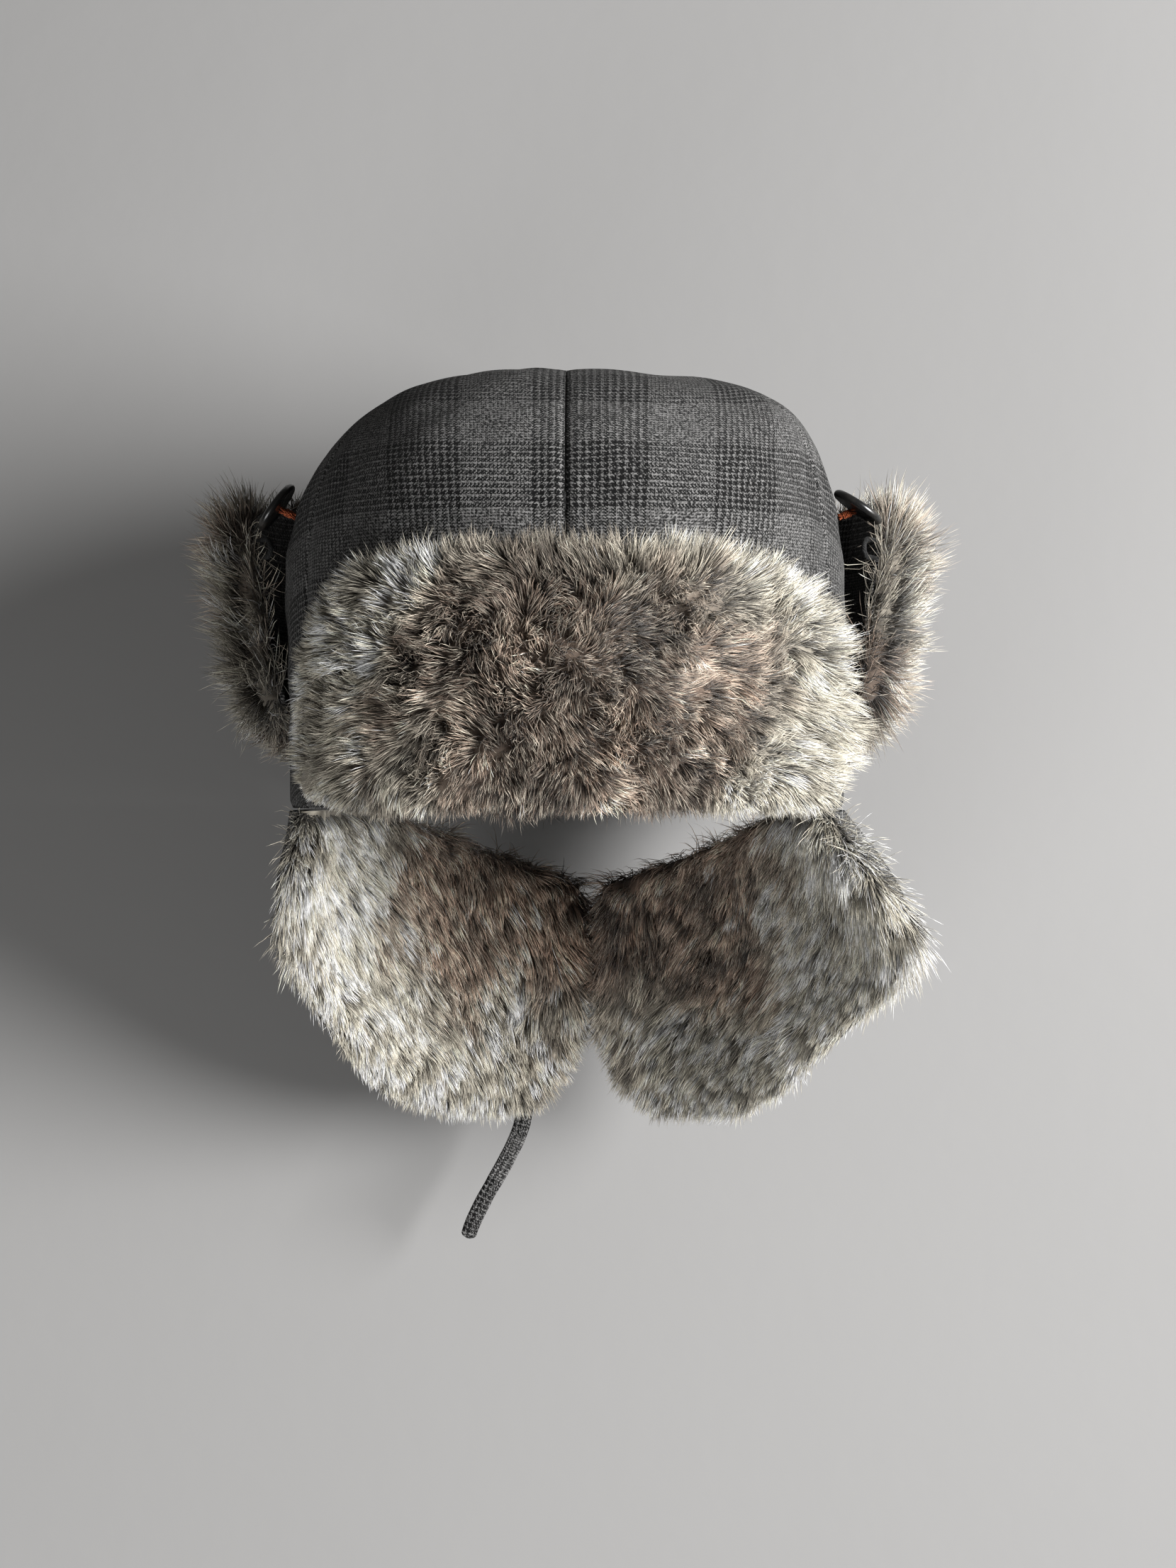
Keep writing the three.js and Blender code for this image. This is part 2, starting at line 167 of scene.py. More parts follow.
def waves(points, wavelength, seed):
    """Smooth irregular values, mostly from -1 to 1, that change over a distance of wavelength."""
    random = np.random.default_rng(seed)
    total = np.zeros(points.shape[:-1])
    count = 8
    for _ in range(count):
        direction = unit(random.normal(size=3))
        turns = 2 * math.pi / (wavelength * random.uniform(0.6, 1.6))
        total += np.sin(points @ direction * turns + random.uniform(0, 2 * math.pi))
    return total / math.sqrt(count)


def smooth_route(points, steps_each):
    """A Catmull-Rom curve through the points."""
    given = np.array(points, float)
    padded = np.vstack([2 * given[0] - given[1], given, 2 * given[-1] - given[-2]])
    route = []
    for i in range(len(given) - 1):
        a, b, c, d = padded[i:i + 4]
        for t in np.arange(steps_each) / steps_each:
            route.append(0.5 * (2 * b + (c - a) * t + (2 * a - 5 * b + 4 * c - d) * t ** 2
                                + (3 * b - a - 3 * c + d) * t ** 3))
    route.append(given[-1])
    return np.array(route)


# ---- Surfaces of the hat ----


def plan_radius(azimuth, half_width, half_depth):
    across = np.abs(np.cos(np.radians(azimuth)) / half_width) ** PLAN_POWER
    along = np.abs(np.sin(np.radians(azimuth)) / half_depth) ** PLAN_POWER
    return (across + along) ** (-1 / PLAN_POWER)


def wall_point(azimuth, height, offset):
    azimuth, height, offset = np.broadcast_arrays(azimuth, height, offset)
    radius = plan_radius(azimuth, CROWN_HALF_WIDTH + offset, CROWN_HALF_DEPTH + offset)
    angle = np.radians(azimuth)
    return np.stack([radius * np.cos(angle), radius * np.sin(angle), height + 0.0 * radius], axis=-1)


def crown_point(azimuth, rise, offset):
    """A point of the crown; rise runs from 0 at the rim to 1 at the middle of the top."""
    last_bend = math.acos(0.004 ** (SHOULDER_POWER / 2))
    bend = np.clip((rise - STRAIGHT_SHARE) / (1 - STRAIGHT_SHARE), 0, 1) * last_bend
    power = 2 / SHOULDER_POWER
    scale = np.cos(bend) ** power
    straight = np.minimum(1, rise / STRAIGHT_SHARE) * SHOULDER_START
    height = straight + (CROWN_HEIGHT + offset - SHOULDER_START) * np.sin(bend) ** power
    point = wall_point(azimuth, height, offset)
    point[..., :2] *= scale[..., None]
    return point


def shoulder_scale(height):
    rise = max(0, height - SHOULDER_START) / (CROWN_HEIGHT - SHOULDER_START)
    return (1 - rise ** SHOULDER_POWER) ** (1 / SHOULDER_POWER)


def rounded_top(from_middle, half_angle, low, high, corner):
    share = np.minimum(1, np.abs(from_middle) / (half_angle + 0.3))
    return low + (high - low) * (1 - share ** corner) ** (1 / corner)


def front_flap_top(azimuth):
    return rounded_top(azimuth + 90, FRONT_FLAP_HALF_ANGLE, FLAP_FOOT, FRONT_FLAP_HEIGHT, 3.8)


def front_flap_bottom(azimuth):
    return FLAP_FOOT + 0.0 * azimuth


def back_flap_bottom(azimuth):
    beyond = np.maximum(0, np.abs(azimuth - 90) - BACK_FLAP_SEAM_ANGLE)
    share = beyond / (BACK_FLAP_HALF_ANGLE - BACK_FLAP_SEAM_ANGLE)
    return FLAP_FOOT + BACK_FLAP_END_RISE * share


def back_flap_top(azimuth):
    low = back_flap_bottom(azimuth)
    return rounded_top(azimuth - 90, BACK_FLAP_HALF_ANGLE, low, BACK_FLAP_HEIGHT, 7)


def back_flap_point(azimuth, height, offset):
    end_share = smooth((np.abs(azimuth - 90) - BACK_FLAP_FOLD_ANGLE) / 40)
    lean = (height - back_flap_bottom(azimuth)) * BACK_FLAP_LEAN * end_share
    return wall_point(azimuth, height, offset + lean)


def ear_angle(side, azimuth):
    from_side = azimuth if side == "right" else 180 - azimuth
    return from_side - EAR_FLAP_SWEEP[side]


def ear_azimuth(side, angle):
    from_side = angle + EAR_FLAP_SWEEP[side]
    return from_side if side == "right" else 180 - from_side


def ear_flap_top(angle):
    share = np.maximum(0, angle - EAR_FLAP_SEAM_END) / (EAR_FLAP_REAR - EAR_FLAP_SEAM_END)
    return -1 - EAR_FLAP_REAR_DROP * share


def ear_flap_bottom(angle):
    ahead = EAR_FLAP_TIP - angle
    share = np.where(ahead > 0, (np.maximum(ahead, 0) / 104) ** 1.75, (np.maximum(-ahead, 0) / 32) ** 4)
    return -EAR_FLAP_LENGTH * (1 - share)


def ear_flap_point(side, azimuth, height, offset):
    bulge = EAR_FLAP_BULGE[side] * np.sin(np.pi * np.clip(-height / EAR_FLAP_LENGTH, 0, 1))
    angle = ear_angle(side, azimuth)
    ahead = (EAR_FLAP_FLARE_FROM - angle) / (EAR_FLAP_FLARE_FROM - EAR_FLAP_FRONT)
    flare = EAR_FLAP_FLARE[side] * smooth(ahead) * np.sin(-math.pi * height / EAR_FLAP_FLARE_DEPTH)
    point = wall_point(azimuth, height, offset + flare + EAR_FLAP_TAPER * height)
    point[..., 0] += SIDE_SIGN[side] * bulge * np.cos(np.radians(angle))
    return point


# ---- Mesh helpers ----


def make_mesh(name, points, face_groups, material, smooth_shading=True):
    """An object from points in millimetres and arrays of faces, each array with its own corner count."""
    corners = np.concatenate([group.ravel() for group in face_groups]).astype(np.int32)
    sizes = np.concatenate([np.full(len(group), group.shape[1]) for group in face_groups])
    starts = np.concatenate([[0], np.cumsum(sizes)[:-1]]).astype(np.int32)
    mesh = bpy.data.meshes.new(name)
    mesh.vertices.add(len(points))
    mesh.vertices.foreach_set("co", (np.asarray(points) * MM).astype(np.float32).ravel())
    mesh.loops.add(len(corners))
    mesh.loops.foreach_set("vertex_index", corners)
    mesh.polygons.add(len(sizes))
    mesh.polygons.foreach_set("loop_start", starts)
    mesh.polygons.foreach_set("use_smooth", np.full(len(sizes), smooth_shading))
    mesh.update(calc_edges=True)
    mesh.materials.append(material)
    piece = bpy.data.objects.new(name, mesh)
    bpy.context.scene.collection.objects.link(piece)
    return piece


def add_grain(piece, coordinates):
    """Cloth coordinates in millimetres along the weft and the warp, for the weave."""
    values = np.zeros((len(coordinates), 3), np.float32)
    values[:, :2] = coordinates
    piece.data.attributes.new("grain", "FLOAT_VECTOR", "POINT").data.foreach_set("vector", values.ravel())


def add_tint(piece, colours):
    values = np.ones((len(colours), 4), np.float32)
    values[:, :3] = colours
    piece.data.attributes.new("tint", "FLOAT_COLOR", "POINT").data.foreach_set("color", values.ravel())


def sheet_faces(rows, columns):
    """The faces of a closed sheet: its outer grid, its inner grid and the edges between them."""
    near = np.arange(rows * columns).reshape(rows, columns)
    far = near + rows * columns
    outside = np.stack([near[:-1, :-1], near[:-1, 1:], near[1:, 1:], near[1:, :-1]], -1).reshape(-1, 4)
    inside = np.stack([far[:-1, :-1], far[1:, :-1], far[1:, 1:], far[:-1, 1:]], -1).reshape(-1, 4)
    loop = np.concatenate([near[0], near[1:, -1], near[-1, -2::-1], near[-2:0:-1, 0]])
    after = np.roll(loop, -1)
    count = rows * columns
    edge = np.stack([after, loop, loop + count, after + count], -1)
    return np.concatenate([outside, inside, edge])


def closed_sheet(name, outer, inner, grain, material):
    """A closed sheet between two grids of points, with the same cloth coordinates on both faces."""
    rows, columns = outer.shape[:2]
    points = np.concatenate([outer.reshape(-1, 3), inner.reshape(-1, 3)])
    piece = make_mesh(name, points, [sheet_faces(rows, columns)], material)
    flat = grain.reshape(-1, 2)
    add_grain(piece, np.concatenate([flat, flat]))
    return piece


def ring_faces(rings, sides):
    """The quads between rings of points, with a polygon closing each end."""
    index = np.arange(rings * sides).reshape(rings, sides)
    after = np.roll(index, -1, axis=1)
    quads = np.stack([index[:-1], after[:-1], after[1:], index[1:]], -1).reshape(-1, 4)
    return [quads, index[0, ::-1][None], index[-1][None]]


def sweep(path, section, facing):
    """Rings of points that carry a section along a path. section(t) gives across and up offsets."""
    tangent = unit(np.gradient(path, axis=0))
    across = unit(np.cross(tangent, facing))
    up = np.cross(across, tangent)
    rings = []
    for i, share in enumerate(np.linspace(0, 1, len(path))):
        offsets = section(share)
        rings.append(path[i] + offsets[:, :1] * across[i] + offsets[:, 1:] * up[i])
    return np.array(rings)


def circle(radius, sides):
    angle = np.arange(sides) * 2 * math.pi / sides
    return radius * np.stack([np.cos(angle), np.sin(angle)], -1)


def tubes(name, paths, radius, sides, material, facing=(0.3, 0.5, 0.81)):
    """One piece made of round tubes with rounded ends, one for each path."""
    points, quads, caps, start = [], [], [], 0
    for path in paths:
        def section(share):
            return circle(radius * (1 - (2 * abs(share - 0.5)) ** 12 * 0.6), sides)
        rings = sweep(path, section, np.array(facing))
        faces = ring_faces(len(path), sides)
        points.append(rings.reshape(-1, 3))
        quads.append(faces[0] + start)
        caps.extend([faces[1] + start, faces[2] + start])
        start += len(path) * sides
    return make_mesh(name, np.concatenate(points), [np.concatenate(quads), np.concatenate(caps)],
                     material)


def stitches(route, length, gap, lift):
    """Short paths along a route, each a stitch that rises out of the cloth by lift."""
    steps = np.linalg.norm(np.diff(route, axis=0), axis=1)
    along = np.concatenate([[0], np.cumsum(steps)])
    made = []
    for start in np.arange(gap / 2, along[-1] - length, length + gap):
        at = start + np.linspace(0, length, 5)
        path = np.stack([np.interp(at, along, route[:, i]) for i in range(3)], -1)
        made.append(path + np.array([0.0, 0.5, 0.7, 0.5, 0.0])[:, None] * lift)
    return made


# ---- Materials ----


class Shader:
    """A material with a Principled shader, and short ways to add nodes to it."""

    def __init__(self, name, **settings):
        self.material = bpy.data.materials.new(name)
        self.material.use_nodes = True
        self.tree = self.material.node_tree
        self.shader = self.tree.nodes["Principled BSDF"]
        for socket, value in settings.items():
            self.shader.inputs[socket.replace("_", " ")].default_value = value

    def node(self, kind, inputs=(), **properties):
        node = self.tree.nodes.new(kind)
        for key, value in properties.items():
            setattr(node, key, value)
        for key, value in dict(inputs).items():
            self.put(node.inputs[key], value)
        return node

    def put(self, socket, value):
        if isinstance(value, bpy.types.NodeSocket):
            self.tree.links.new(value, socket)
        else:
            socket.default_value = value

    def math(self, operation, first, second=0.0):
        return self.node("ShaderNodeMath", {0: first, 1: second}, operation=operation).outputs[0]

    def noise(self, scale, detail=2.0, vector=None):
        inputs = {"Scale": scale, "Detail": detail}
        if vector is not None:
            inputs["Vector"] = vector
        else:
            inputs["Vector"] = self.node("ShaderNodeTexCoord").outputs["Object"]
        return self.node("ShaderNodeTexNoise", inputs).outputs["Fac"]

    def span(self, value, low, high, out_low=0.0, out_high=1.0):
        inputs = {"Value": value, "From Min": low, "From Max": high,
                  "To Min": out_low, "To Max": out_high}
        return self.node("ShaderNodeMapRange", inputs).outputs["Result"]

    def mix(self, share, first, second, blend="MIX"):
        node = self.node("ShaderNodeMix", data_type="RGBA", blend_type=blend)
        self.put(node.inputs["Factor"], share)
        self.put(node.inputs["A"], first)
        self.put(node.inputs["B"], second)
        return node.outputs["Result"]

    def finish(self, colour, roughness, height, bump_distance, strength=0.6):
        self.put(self.shader.inputs["Base Color"], colour)
        self.put(self.shader.inputs["Roughness"], roughness)
        bump = self.node("ShaderNodeBump", {"Height": height, "Distance": bump_distance,
                                            "Strength": strength})
        self.put(self.shader.inputs["Normal"], bump.outputs["Normal"])
        return self.material


def grey(value, warmth=0.0):
    return (value * (1 + warmth), value, value * (1 - warmth), 1)


def wool_check():
    """A glen check in 2/2 twill: blocks of four and four yarns cross blocks of two and two."""
    pitch = 0.26
    repeat = 160 * pitch
    broad = 88 * pitch
    made = Shader("wool_glen_check", Sheen_Weight=0.03, Sheen_Roughness=0.5, Specular_IOR_Level=0.1)
    attribute = made.node("ShaderNodeAttribute", attribute_name="grain")
    split = made.node("ShaderNodeSeparateXYZ", {"Vector": attribute.outputs["Vector"]})
    dark, yarn = [], []
    for axis in ("X", "Y"):
        across = split.outputs[axis]
        number = made.math("FLOOR", made.math("DIVIDE", across, pitch))
        in_broad = made.math("LESS_THAN", made.math("FLOORED_MODULO", across, repeat), broad)
        fours = made.math("LESS_THAN", made.math("FLOORED_MODULO", number, 8.0), 4.5)
        twos = made.math("LESS_THAN", made.math("FLOORED_MODULO", number, 4.0), 0.5)
        in_fine = made.math("SUBTRACT", 1.0, in_broad)
        broad_part = made.math("MULTIPLY", fours, in_broad)
        fine_part = made.math("MULTIPLY", twos, in_fine)
        dark.append(made.math("ADD", broad_part, fine_part))
        yarn.append(number)
    diagonal = made.math("FLOORED_MODULO", made.math("ADD", yarn[0], yarn[1]), 4.0)
    warp_over = made.math("LESS_THAN", diagonal, 1.5)
    warp_part = made.math("MULTIPLY", dark[0], warp_over)
    weft_part = made.math("MULTIPLY", dark[1], made.math("SUBTRACT", 1.0, warp_over))
    is_dark = made.math("ADD", warp_part, weft_part)
    light = made.mix(made.span(made.noise(1300.0, 2.0), 0.36, 0.64), grey(0.010), grey(0.22, 0.02))
    black = made.mix(made.noise(700.0), grey(0.001), grey(0.006))
    colour = made.mix(is_dark, light, black)
    fibre = made.span(made.noise(1700.0, 1.0), 0.63, 0.71)
    colour = made.mix(made.math("MULTIPLY", fibre, 0.40), colour, grey(0.38, 0.03))
    worn = made.span(made.noise(22.0, 2.0), 0.3, 0.75, 0.0, 0.12)
    colour = made.mix(worn, colour, grey(0.03, 0.02))
    ridges = []
    for axis in ("X", "Y"):
        turns = made.math("MULTIPLY", split.outputs[axis], math.pi / pitch)
        ridges.append(made.math("ABSOLUTE", made.math("SINE", turns)))
    height = made.math("ADD", made.math("MULTIPLY", *ridges), made.noise(1500.0, 2.0))
    return made.finish(colour, made.span(made.noise(300.0), 0.2, 0.8, 0.82, 0.98), height, 0.0004)


def fur(name, roughness):
    """Fur takes its colour from the piece, strand by strand, and varies finely along it."""
    made = Shader(name, Sheen_Weight=0.15, Sheen_Roughness=0.4, Specular_IOR_Level=0.3)
    attribute = made.node("ShaderNodeAttribute", attribute_name="tint")
    shade = made.span(made.noise(450.0, 2.0), 0.25, 0.75, 0.82, 1.12)
    shade_colour = made.node("ShaderNodeCombineXYZ", {"X": shade, "Y": shade, "Z": shade})
    colour = made.mix(1.0, attribute.outputs["Color"], shade_colour.outputs["Vector"], "MULTIPLY")
    return made.finish(colour, made.span(made.noise(200.0), 0.2, 0.8, roughness - 0.08, roughness + 0.08),
                       made.noise(1800.0, 1.0), 0.0002, 0.3)


def satin():
    made = Shader("lining_satin", Specular_IOR_Level=0.6, Anisotropic=0.4, Sheen_Weight=0.1)
    colour = made.mix(made.noise(60.0, 3.0), grey(0.008), grey(0.016))
    attribute = made.node("ShaderNodeAttribute", attribute_name="grain")
    thread = made.noise(9.0, 2.0, attribute.outputs["Vector"])
    return made.finish(colour, made.span(thread, 0.2, 0.8, 0.28, 0.42), thread, 0.0001, 0.3)


def knitted_band():
    made = Shader("sweatband_knit", Sheen_Weight=0.2, Specular_IOR_Level=0.25)
    colour = made.mix(made.noise(500.0, 3.0), grey(0.010), grey(0.030))
    roughness = made.span(made.noise(120.0), 0.2, 0.8, 0.8, 0.95)
    return made.finish(colour, roughness, made.noise(1400.0, 2.0), 0.0003)


def horn_black():
    """Button resin: nearly black, with faint streaks and rubbed edges."""
    made = Shader("button_resin", Specular_IOR_Level=0.5, Coat_Weight=0.15, Coat_Roughness=0.2)
    streak = made.noise(160.0, 5.0)
    colour = made.mix(made.span(streak, 0.45, 0.7), grey(0.006), grey(0.020, 0.15))
    edge = made.node("ShaderNodeNewGeometry").outputs["Pointiness"]
    colour = made.mix(made.span(edge, 0.52, 0.60, 0.0, 0.35), colour, grey(0.06))
    return made.finish(colour, made.span(streak, 0.3, 0.7, 0.22, 0.38), made.noise(900.0), 0.00005, 0.3)


def twisted_thread(name, dark, light):
    made = Shader(name, Sheen_Weight=0.04, Specular_IOR_Level=0.2)
    colour = made.mix(made.span(made.noise(1800.0, 2.0), 0.35, 0.65), dark, light)
    ply = made.node("ShaderNodeTexWave", {"Scale": 700.0, "Distortion": 1.5}, bands_direction="DIAGONAL")
    texture = made.node("ShaderNodeTexCoord").outputs["Object"]
    made.put(ply.inputs["Vector"], texture)
    roughness = made.span(made.noise(300.0), 0.2, 0.8, 0.75, 0.92)
    return made.finish(colour, roughness, ply.outputs["Fac"], 0.0002)


def floor_paint():
    """Pale grey painted floor that fades into the surroundings well outside the picture."""
    made = Shader("floor_paint", Specular_IOR_Level=0.2)
    colour = made.mix(made.noise(2.2, 4.0), grey(0.215, 0.014), grey(0.255, 0.014))
    roughness = made.span(made.noise(9.0), 0.2, 0.8, 0.7, 0.85)
    made.finish(colour, roughness, made.noise(60.0, 5.0), 0.0006, 0.25)
    return made


# ---- Camera ----


def add_camera():
    """Straight on, a little above the rim and right of the middle, as a hat seen from its front."""
    distance = 0.95
    view_height = 0.540
    camera = bpy.data.cameras.new("camera")
    camera.lens = camera.sensor_width * distance / view_height
    holder = bpy.data.objects.new("camera", camera)
    holder.location = (0.007, -distance, 0.008)
    holder.rotation_euler = (math.pi / 2, 0, 0)
    bpy.context.scene.collection.objects.link(holder)
    bpy.context.scene.camera = holder
    bpy.context.scene.view_settings.view_transform = "Standard"


# ---- Chin strap ----


def add_chin_strap(cloth, thread):
    route = smooth_route(STRAP_ROUTE, 5)
    half_thick = STRAP_THICKNESS / 2

    def section(share):
        """Flat with turned edges that stand a little proud, closing to a rounded end."""
        closing = math.sqrt(max(0.04, 1 - max(0, (share - 0.955) / 0.045) ** 2))
        half_wide = STRAP_WIDTH / 2 * (1 - 0.10 * share) * closing
        angle = np.arange(28) * 2 * math.pi / 28
        across = half_wide * np.sign(np.cos(angle)) * np.abs(np.cos(angle)) ** 0.55
        hem = 0.80 + 0.20 * (np.abs(across) / half_wide) ** 2
        up = half_thick * hem * closing * np.sign(np.sin(angle)) * np.abs(np.sin(angle)) ** 0.6
        return np.stack([across, up], -1)

    rings = sweep(route, section, np.array([0, -1.0, 0]))
    rings += waves(rings, 9, 5)[..., None] * np.array([0.10, 0.16, 0.05])
    faces = ring_faces(*rings.shape[:2])
    strap = make_mesh("chin_strap_cloth", rings.reshape(-1, 3), faces, cloth)
    along = np.concatenate([[0], np.cumsum(np.linalg.norm(np.diff(route, axis=0), axis=1))])
    across = np.concatenate([section(share)[:, 0] for share in np.linspace(0, 1, len(route))])
    add_grain(strap, np.stack([across, np.repeat(along, rings.shape[1])], -1))
    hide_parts("chin_strap")
    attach(strap, "chin_strap")

    paths = []
    tangent = unit(np.gradient(route, axis=0))
    sideways = unit(np.cross(tangent, [0, -1.0, 0]))
    for face in (-1, 1):
        for edge in (-1, 1):
            inset = edge * (STRAP_WIDTH / 2 - 1.3) * (1 - 0.12 * np.linspace(0, 1, len(route)))
            line = route + inset[:, None] * sideways + np.array([0, face * half_thick * 0.80, 0])
            paths += stitches(line[:-3], 1.6, 0.7, np.array([0, face * 0.35, 0]))
    sewn = tubes("chin_strap_stitches", paths, 0.16, 6, thread)
    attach(sewn, "chin_strap")


def add_strap_tab(cloth, thread):
    """The doubled patch that sews the strap to the ear flap, with a box of stitches."""
    azimuth = ear_azimuth("left", EAR_FLAP_TIP + TAB_BEHIND_TIP)
    top = STRAP_ROUTE[0][2] + STRAP_TAB_GAP + STRAP_TAB_SIZE
    rows, columns = 20, 14
    v, u = np.meshgrid(np.linspace(0, 1, rows), np.linspace(0, 1, columns), indexing="ij")
    from_side = np.minimum(u, 1 - u) * STRAP_TAB_WIDTH
    from_edge = np.minimum(from_side, np.minimum(v, 1 - v) * STRAP_TAB_SIZE)
    thick = 0.35 + 0.65 * np.sqrt(1 - (1 - np.clip(from_edge / 1.2, 0, 1)) ** 2)
    dent = 0.35 * np.exp(-((from_edge - 1.6) / 0.5) ** 2)
    place = azimuth + (u - 0.5) * 2 * STRAP_TAB_HALF_ANGLE
    height = top - STRAP_TAB_SIZE * (1 - v)
    outer = ear_flap_point("left", place, height, 0.5 + 1.9 * thick - dent)
    inner = ear_flap_point("left", place, height, 0.45 + 0.0 * u)
    grain = np.stack([(u - 0.5) * STRAP_TAB_WIDTH + 3, v * STRAP_TAB_SIZE], -1)
    tab = closed_sheet("chin_strap_tab_cloth", outer, inner, grain, cloth)
    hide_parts("chin_strap_tab")
    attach(tab, "left_ear_flap_rear")

    corners = [(-1.3, -12.2), (1.3, -12.2), (1.3, -1.8), (-1.3, -1.8), (-1.3, -12.2), (1.3, -1.8)]
    paths = []
    for first, second in zip(corners, corners[1:]):
        share = np.linspace(0, 1, 24)
        places = azimuth + first[0] + (second[0] - first[0]) * share
        heights = top + first[1] + (second[1] - first[1]) * share
        line = ear_flap_point("left", places, heights, 2.15)
        paths += stitches(line, 1.5, 0.6, np.array([0, 0.3, 0]))
    sewn = tubes("chin_strap_tab_stitches", paths, 0.16, 6, thread)
    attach(sewn, "left_ear_flap_rear")


# ---- Crown ----

# Turn of the weave in degrees, and where its repeat starts, from the panel's front seam.
PANEL_GRAIN = {
    "front_right": (0, 0.0), "side_right": (12, 14.0), "back_right": (0, 6.0),
    "back_left": (0, 6.0), "side_left": (12, 14.0), "front_left": (0, 13.0),
}
GRAIN_START = -10  # height of the weave's repeat at the rim


def length_up(base):
    """The way up the cloth from the rim to each point of a grid."""
    steps = np.linalg.norm(np.diff(base, axis=0, prepend=base[:1]), axis=-1)
    return np.cumsum(steps, axis=0)


def panel_offset(azimuth, v, base, from_seam):
    """How far a panel stands off: puffed, drawn in at its seams and hem, slack, full at one shoulder."""
    drawn_in = 1 - 0.75 * smooth(v, 0.45, 0.85)
    puff = (1.2 * smooth(from_seam / 16) - 0.6) * drawn_in
    groove = 1.1 * np.exp(-(from_seam / 1.3) ** 2) * drawn_in
    from_rim = v / STRAIGHT_SHARE * SHOULDER_START
    hem = 1.0 * np.exp(-(from_rim / 1.4) ** 2)
    slack = 0.9 * waves(base, 62, 11) + 0.35 * waves(base, 24, 12)
    shoulder = 4.4 * np.exp(-((azimuth + 30) / 20) ** 2 - ((v - 0.66) / 0.17) ** 2)
    calm = smooth(from_seam / 10) * smooth((1 - v) / 0.12)
    low = smooth((base[..., 2] - 4) / 30)
    return (puff + slack * calm) * (0.35 + 0.65 * low) + shoulder - groove - hem


def panel_grain(name, from_front_seam, rise):
    """The weave follows the panel's front seam, and leans away from it as the panel narrows."""
    turn, first = PANEL_GRAIN[name]
    turned = math.radians(turn)
    lean = 0.10 * smooth(from_front_seam / 70) * (rise - 60)
    across = from_front_seam - lean + first
    up = rise + GRAIN_START
    return np.stack([across * math.cos(turned) - up * math.sin(turned),
                     up * math.cos(turned) + across * math.sin(turned)], -1)


def add_crown_panel(index, name, cloth):
    rows, columns = 84, 56
    even = np.linspace(0, 1, columns)
    across = 0.6 * (1 - np.cos(even * math.pi)) / 2 + 0.4 * even
    v, u = np.meshgrid(np.linspace(0, 1, rows), across, indexing="ij")
    azimuth = -90 + 60 * index + 0.12 + u * (60 - 0.24)
    base = crown_point(azimuth, v, 0.0 * u)
    width = np.linalg.norm(base[..., -1, :] - base[..., 0, :], axis=-1, keepdims=True)
    from_seam = np.minimum(u, 1 - u) * np.maximum(width, 6)
    outer = crown_point(azimuth, v, panel_offset(azimuth, v, base, from_seam))
    inner = crown_point(azimuth, v, -CLOTH - 0.1 + 0.0 * u)
    front_side = u if index < 3 else 1 - u
    grain = panel_grain(name, front_side * np.maximum(width, 1), length_up(base))
    panel = closed_sheet(f"crown_cloth_{name}", outer, inner, grain, cloth)
    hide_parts(f"crown_panel_{name}")
    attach(panel, "crown")


def add_crown_quilt(index, name, cloth):
    """A third of the lining, stitched in diamonds."""
    rows, columns = 90, 120
    diamond = 38
    v, u = np.meshgrid(np.linspace(0, 1, rows), np.linspace(0, 1, columns), indexing="ij")
    azimuth = -90 + 120 * index + 0.15 + u * 119.7
    along = np.radians(azimuth) * 92
    rise = length_up(crown_point(azimuth, v, -6 + 0.0 * u))
    first = np.abs(np.sin(math.pi * (along + rise) / diamond))
    second = np.abs(np.sin(math.pi * (along - rise) / diamond))
    fill = (np.minimum(first, second) * 1.5).clip(0, 1) ** 0.6
    fill = 0.25 + 0.75 * fill * smooth((1 - v) / 0.15)
    outer = crown_point(azimuth, v, -2.45 + 0.0 * u)
    inner = crown_point(azimuth, v, -2.6 - 3.9 * fill)
    grain = np.stack([along, rise], -1)
    quilt = closed_sheet(f"quilted_lining_{name}", outer, inner, grain, cloth)
    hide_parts(f"crown_lining_{name}")
    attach(quilt, "crown")


def add_crown(cloth, lining_cloth):
    panels = ["front_right", "side_right", "back_right", "back_left", "side_left", "front_left"]
    for index, name in enumerate(panels):
        add_crown_panel(index, name, cloth)
    for index, name in enumerate(["right", "back", "left"]):
        add_crown_quilt(index, name, lining_cloth)


def add_sweatband(material):
    """A knitted band with upright ribs and rolled edges, closed at the back."""
    columns, rows = 361 * 2, 12
    v, u = np.meshgrid(np.linspace(0, 1, rows), np.linspace(0, 1, columns), indexing="ij")
    azimuth = 90.3 + u * 359.4
    height = 1 + (SWEATBAND_HEIGHT - 1) * v
    rib = 0.5 + 0.5 * np.cos(azimuth * math.pi)
    rolled = np.sqrt(1 - (np.abs(2 * v - 1)) ** 10)
    outer_offset = -CLOTH - LINING - 2 * SEAM_GAP
    outer = wall_point(azimuth, height, outer_offset - 0.1 * (1 - rolled))
    thick = 0.35 + (SWEATBAND - 0.35) * (0.45 + 0.55 * rib) * rolled
    inner = wall_point(azimuth, height, outer_offset - thick)
    grain = np.stack([np.radians(azimuth) * 90, height], -1)
    band = closed_sheet("knitted_sweatband", outer, inner, grain, material)
    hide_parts("sweatband")
    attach(band, "crown")


# ---- Flaps ----


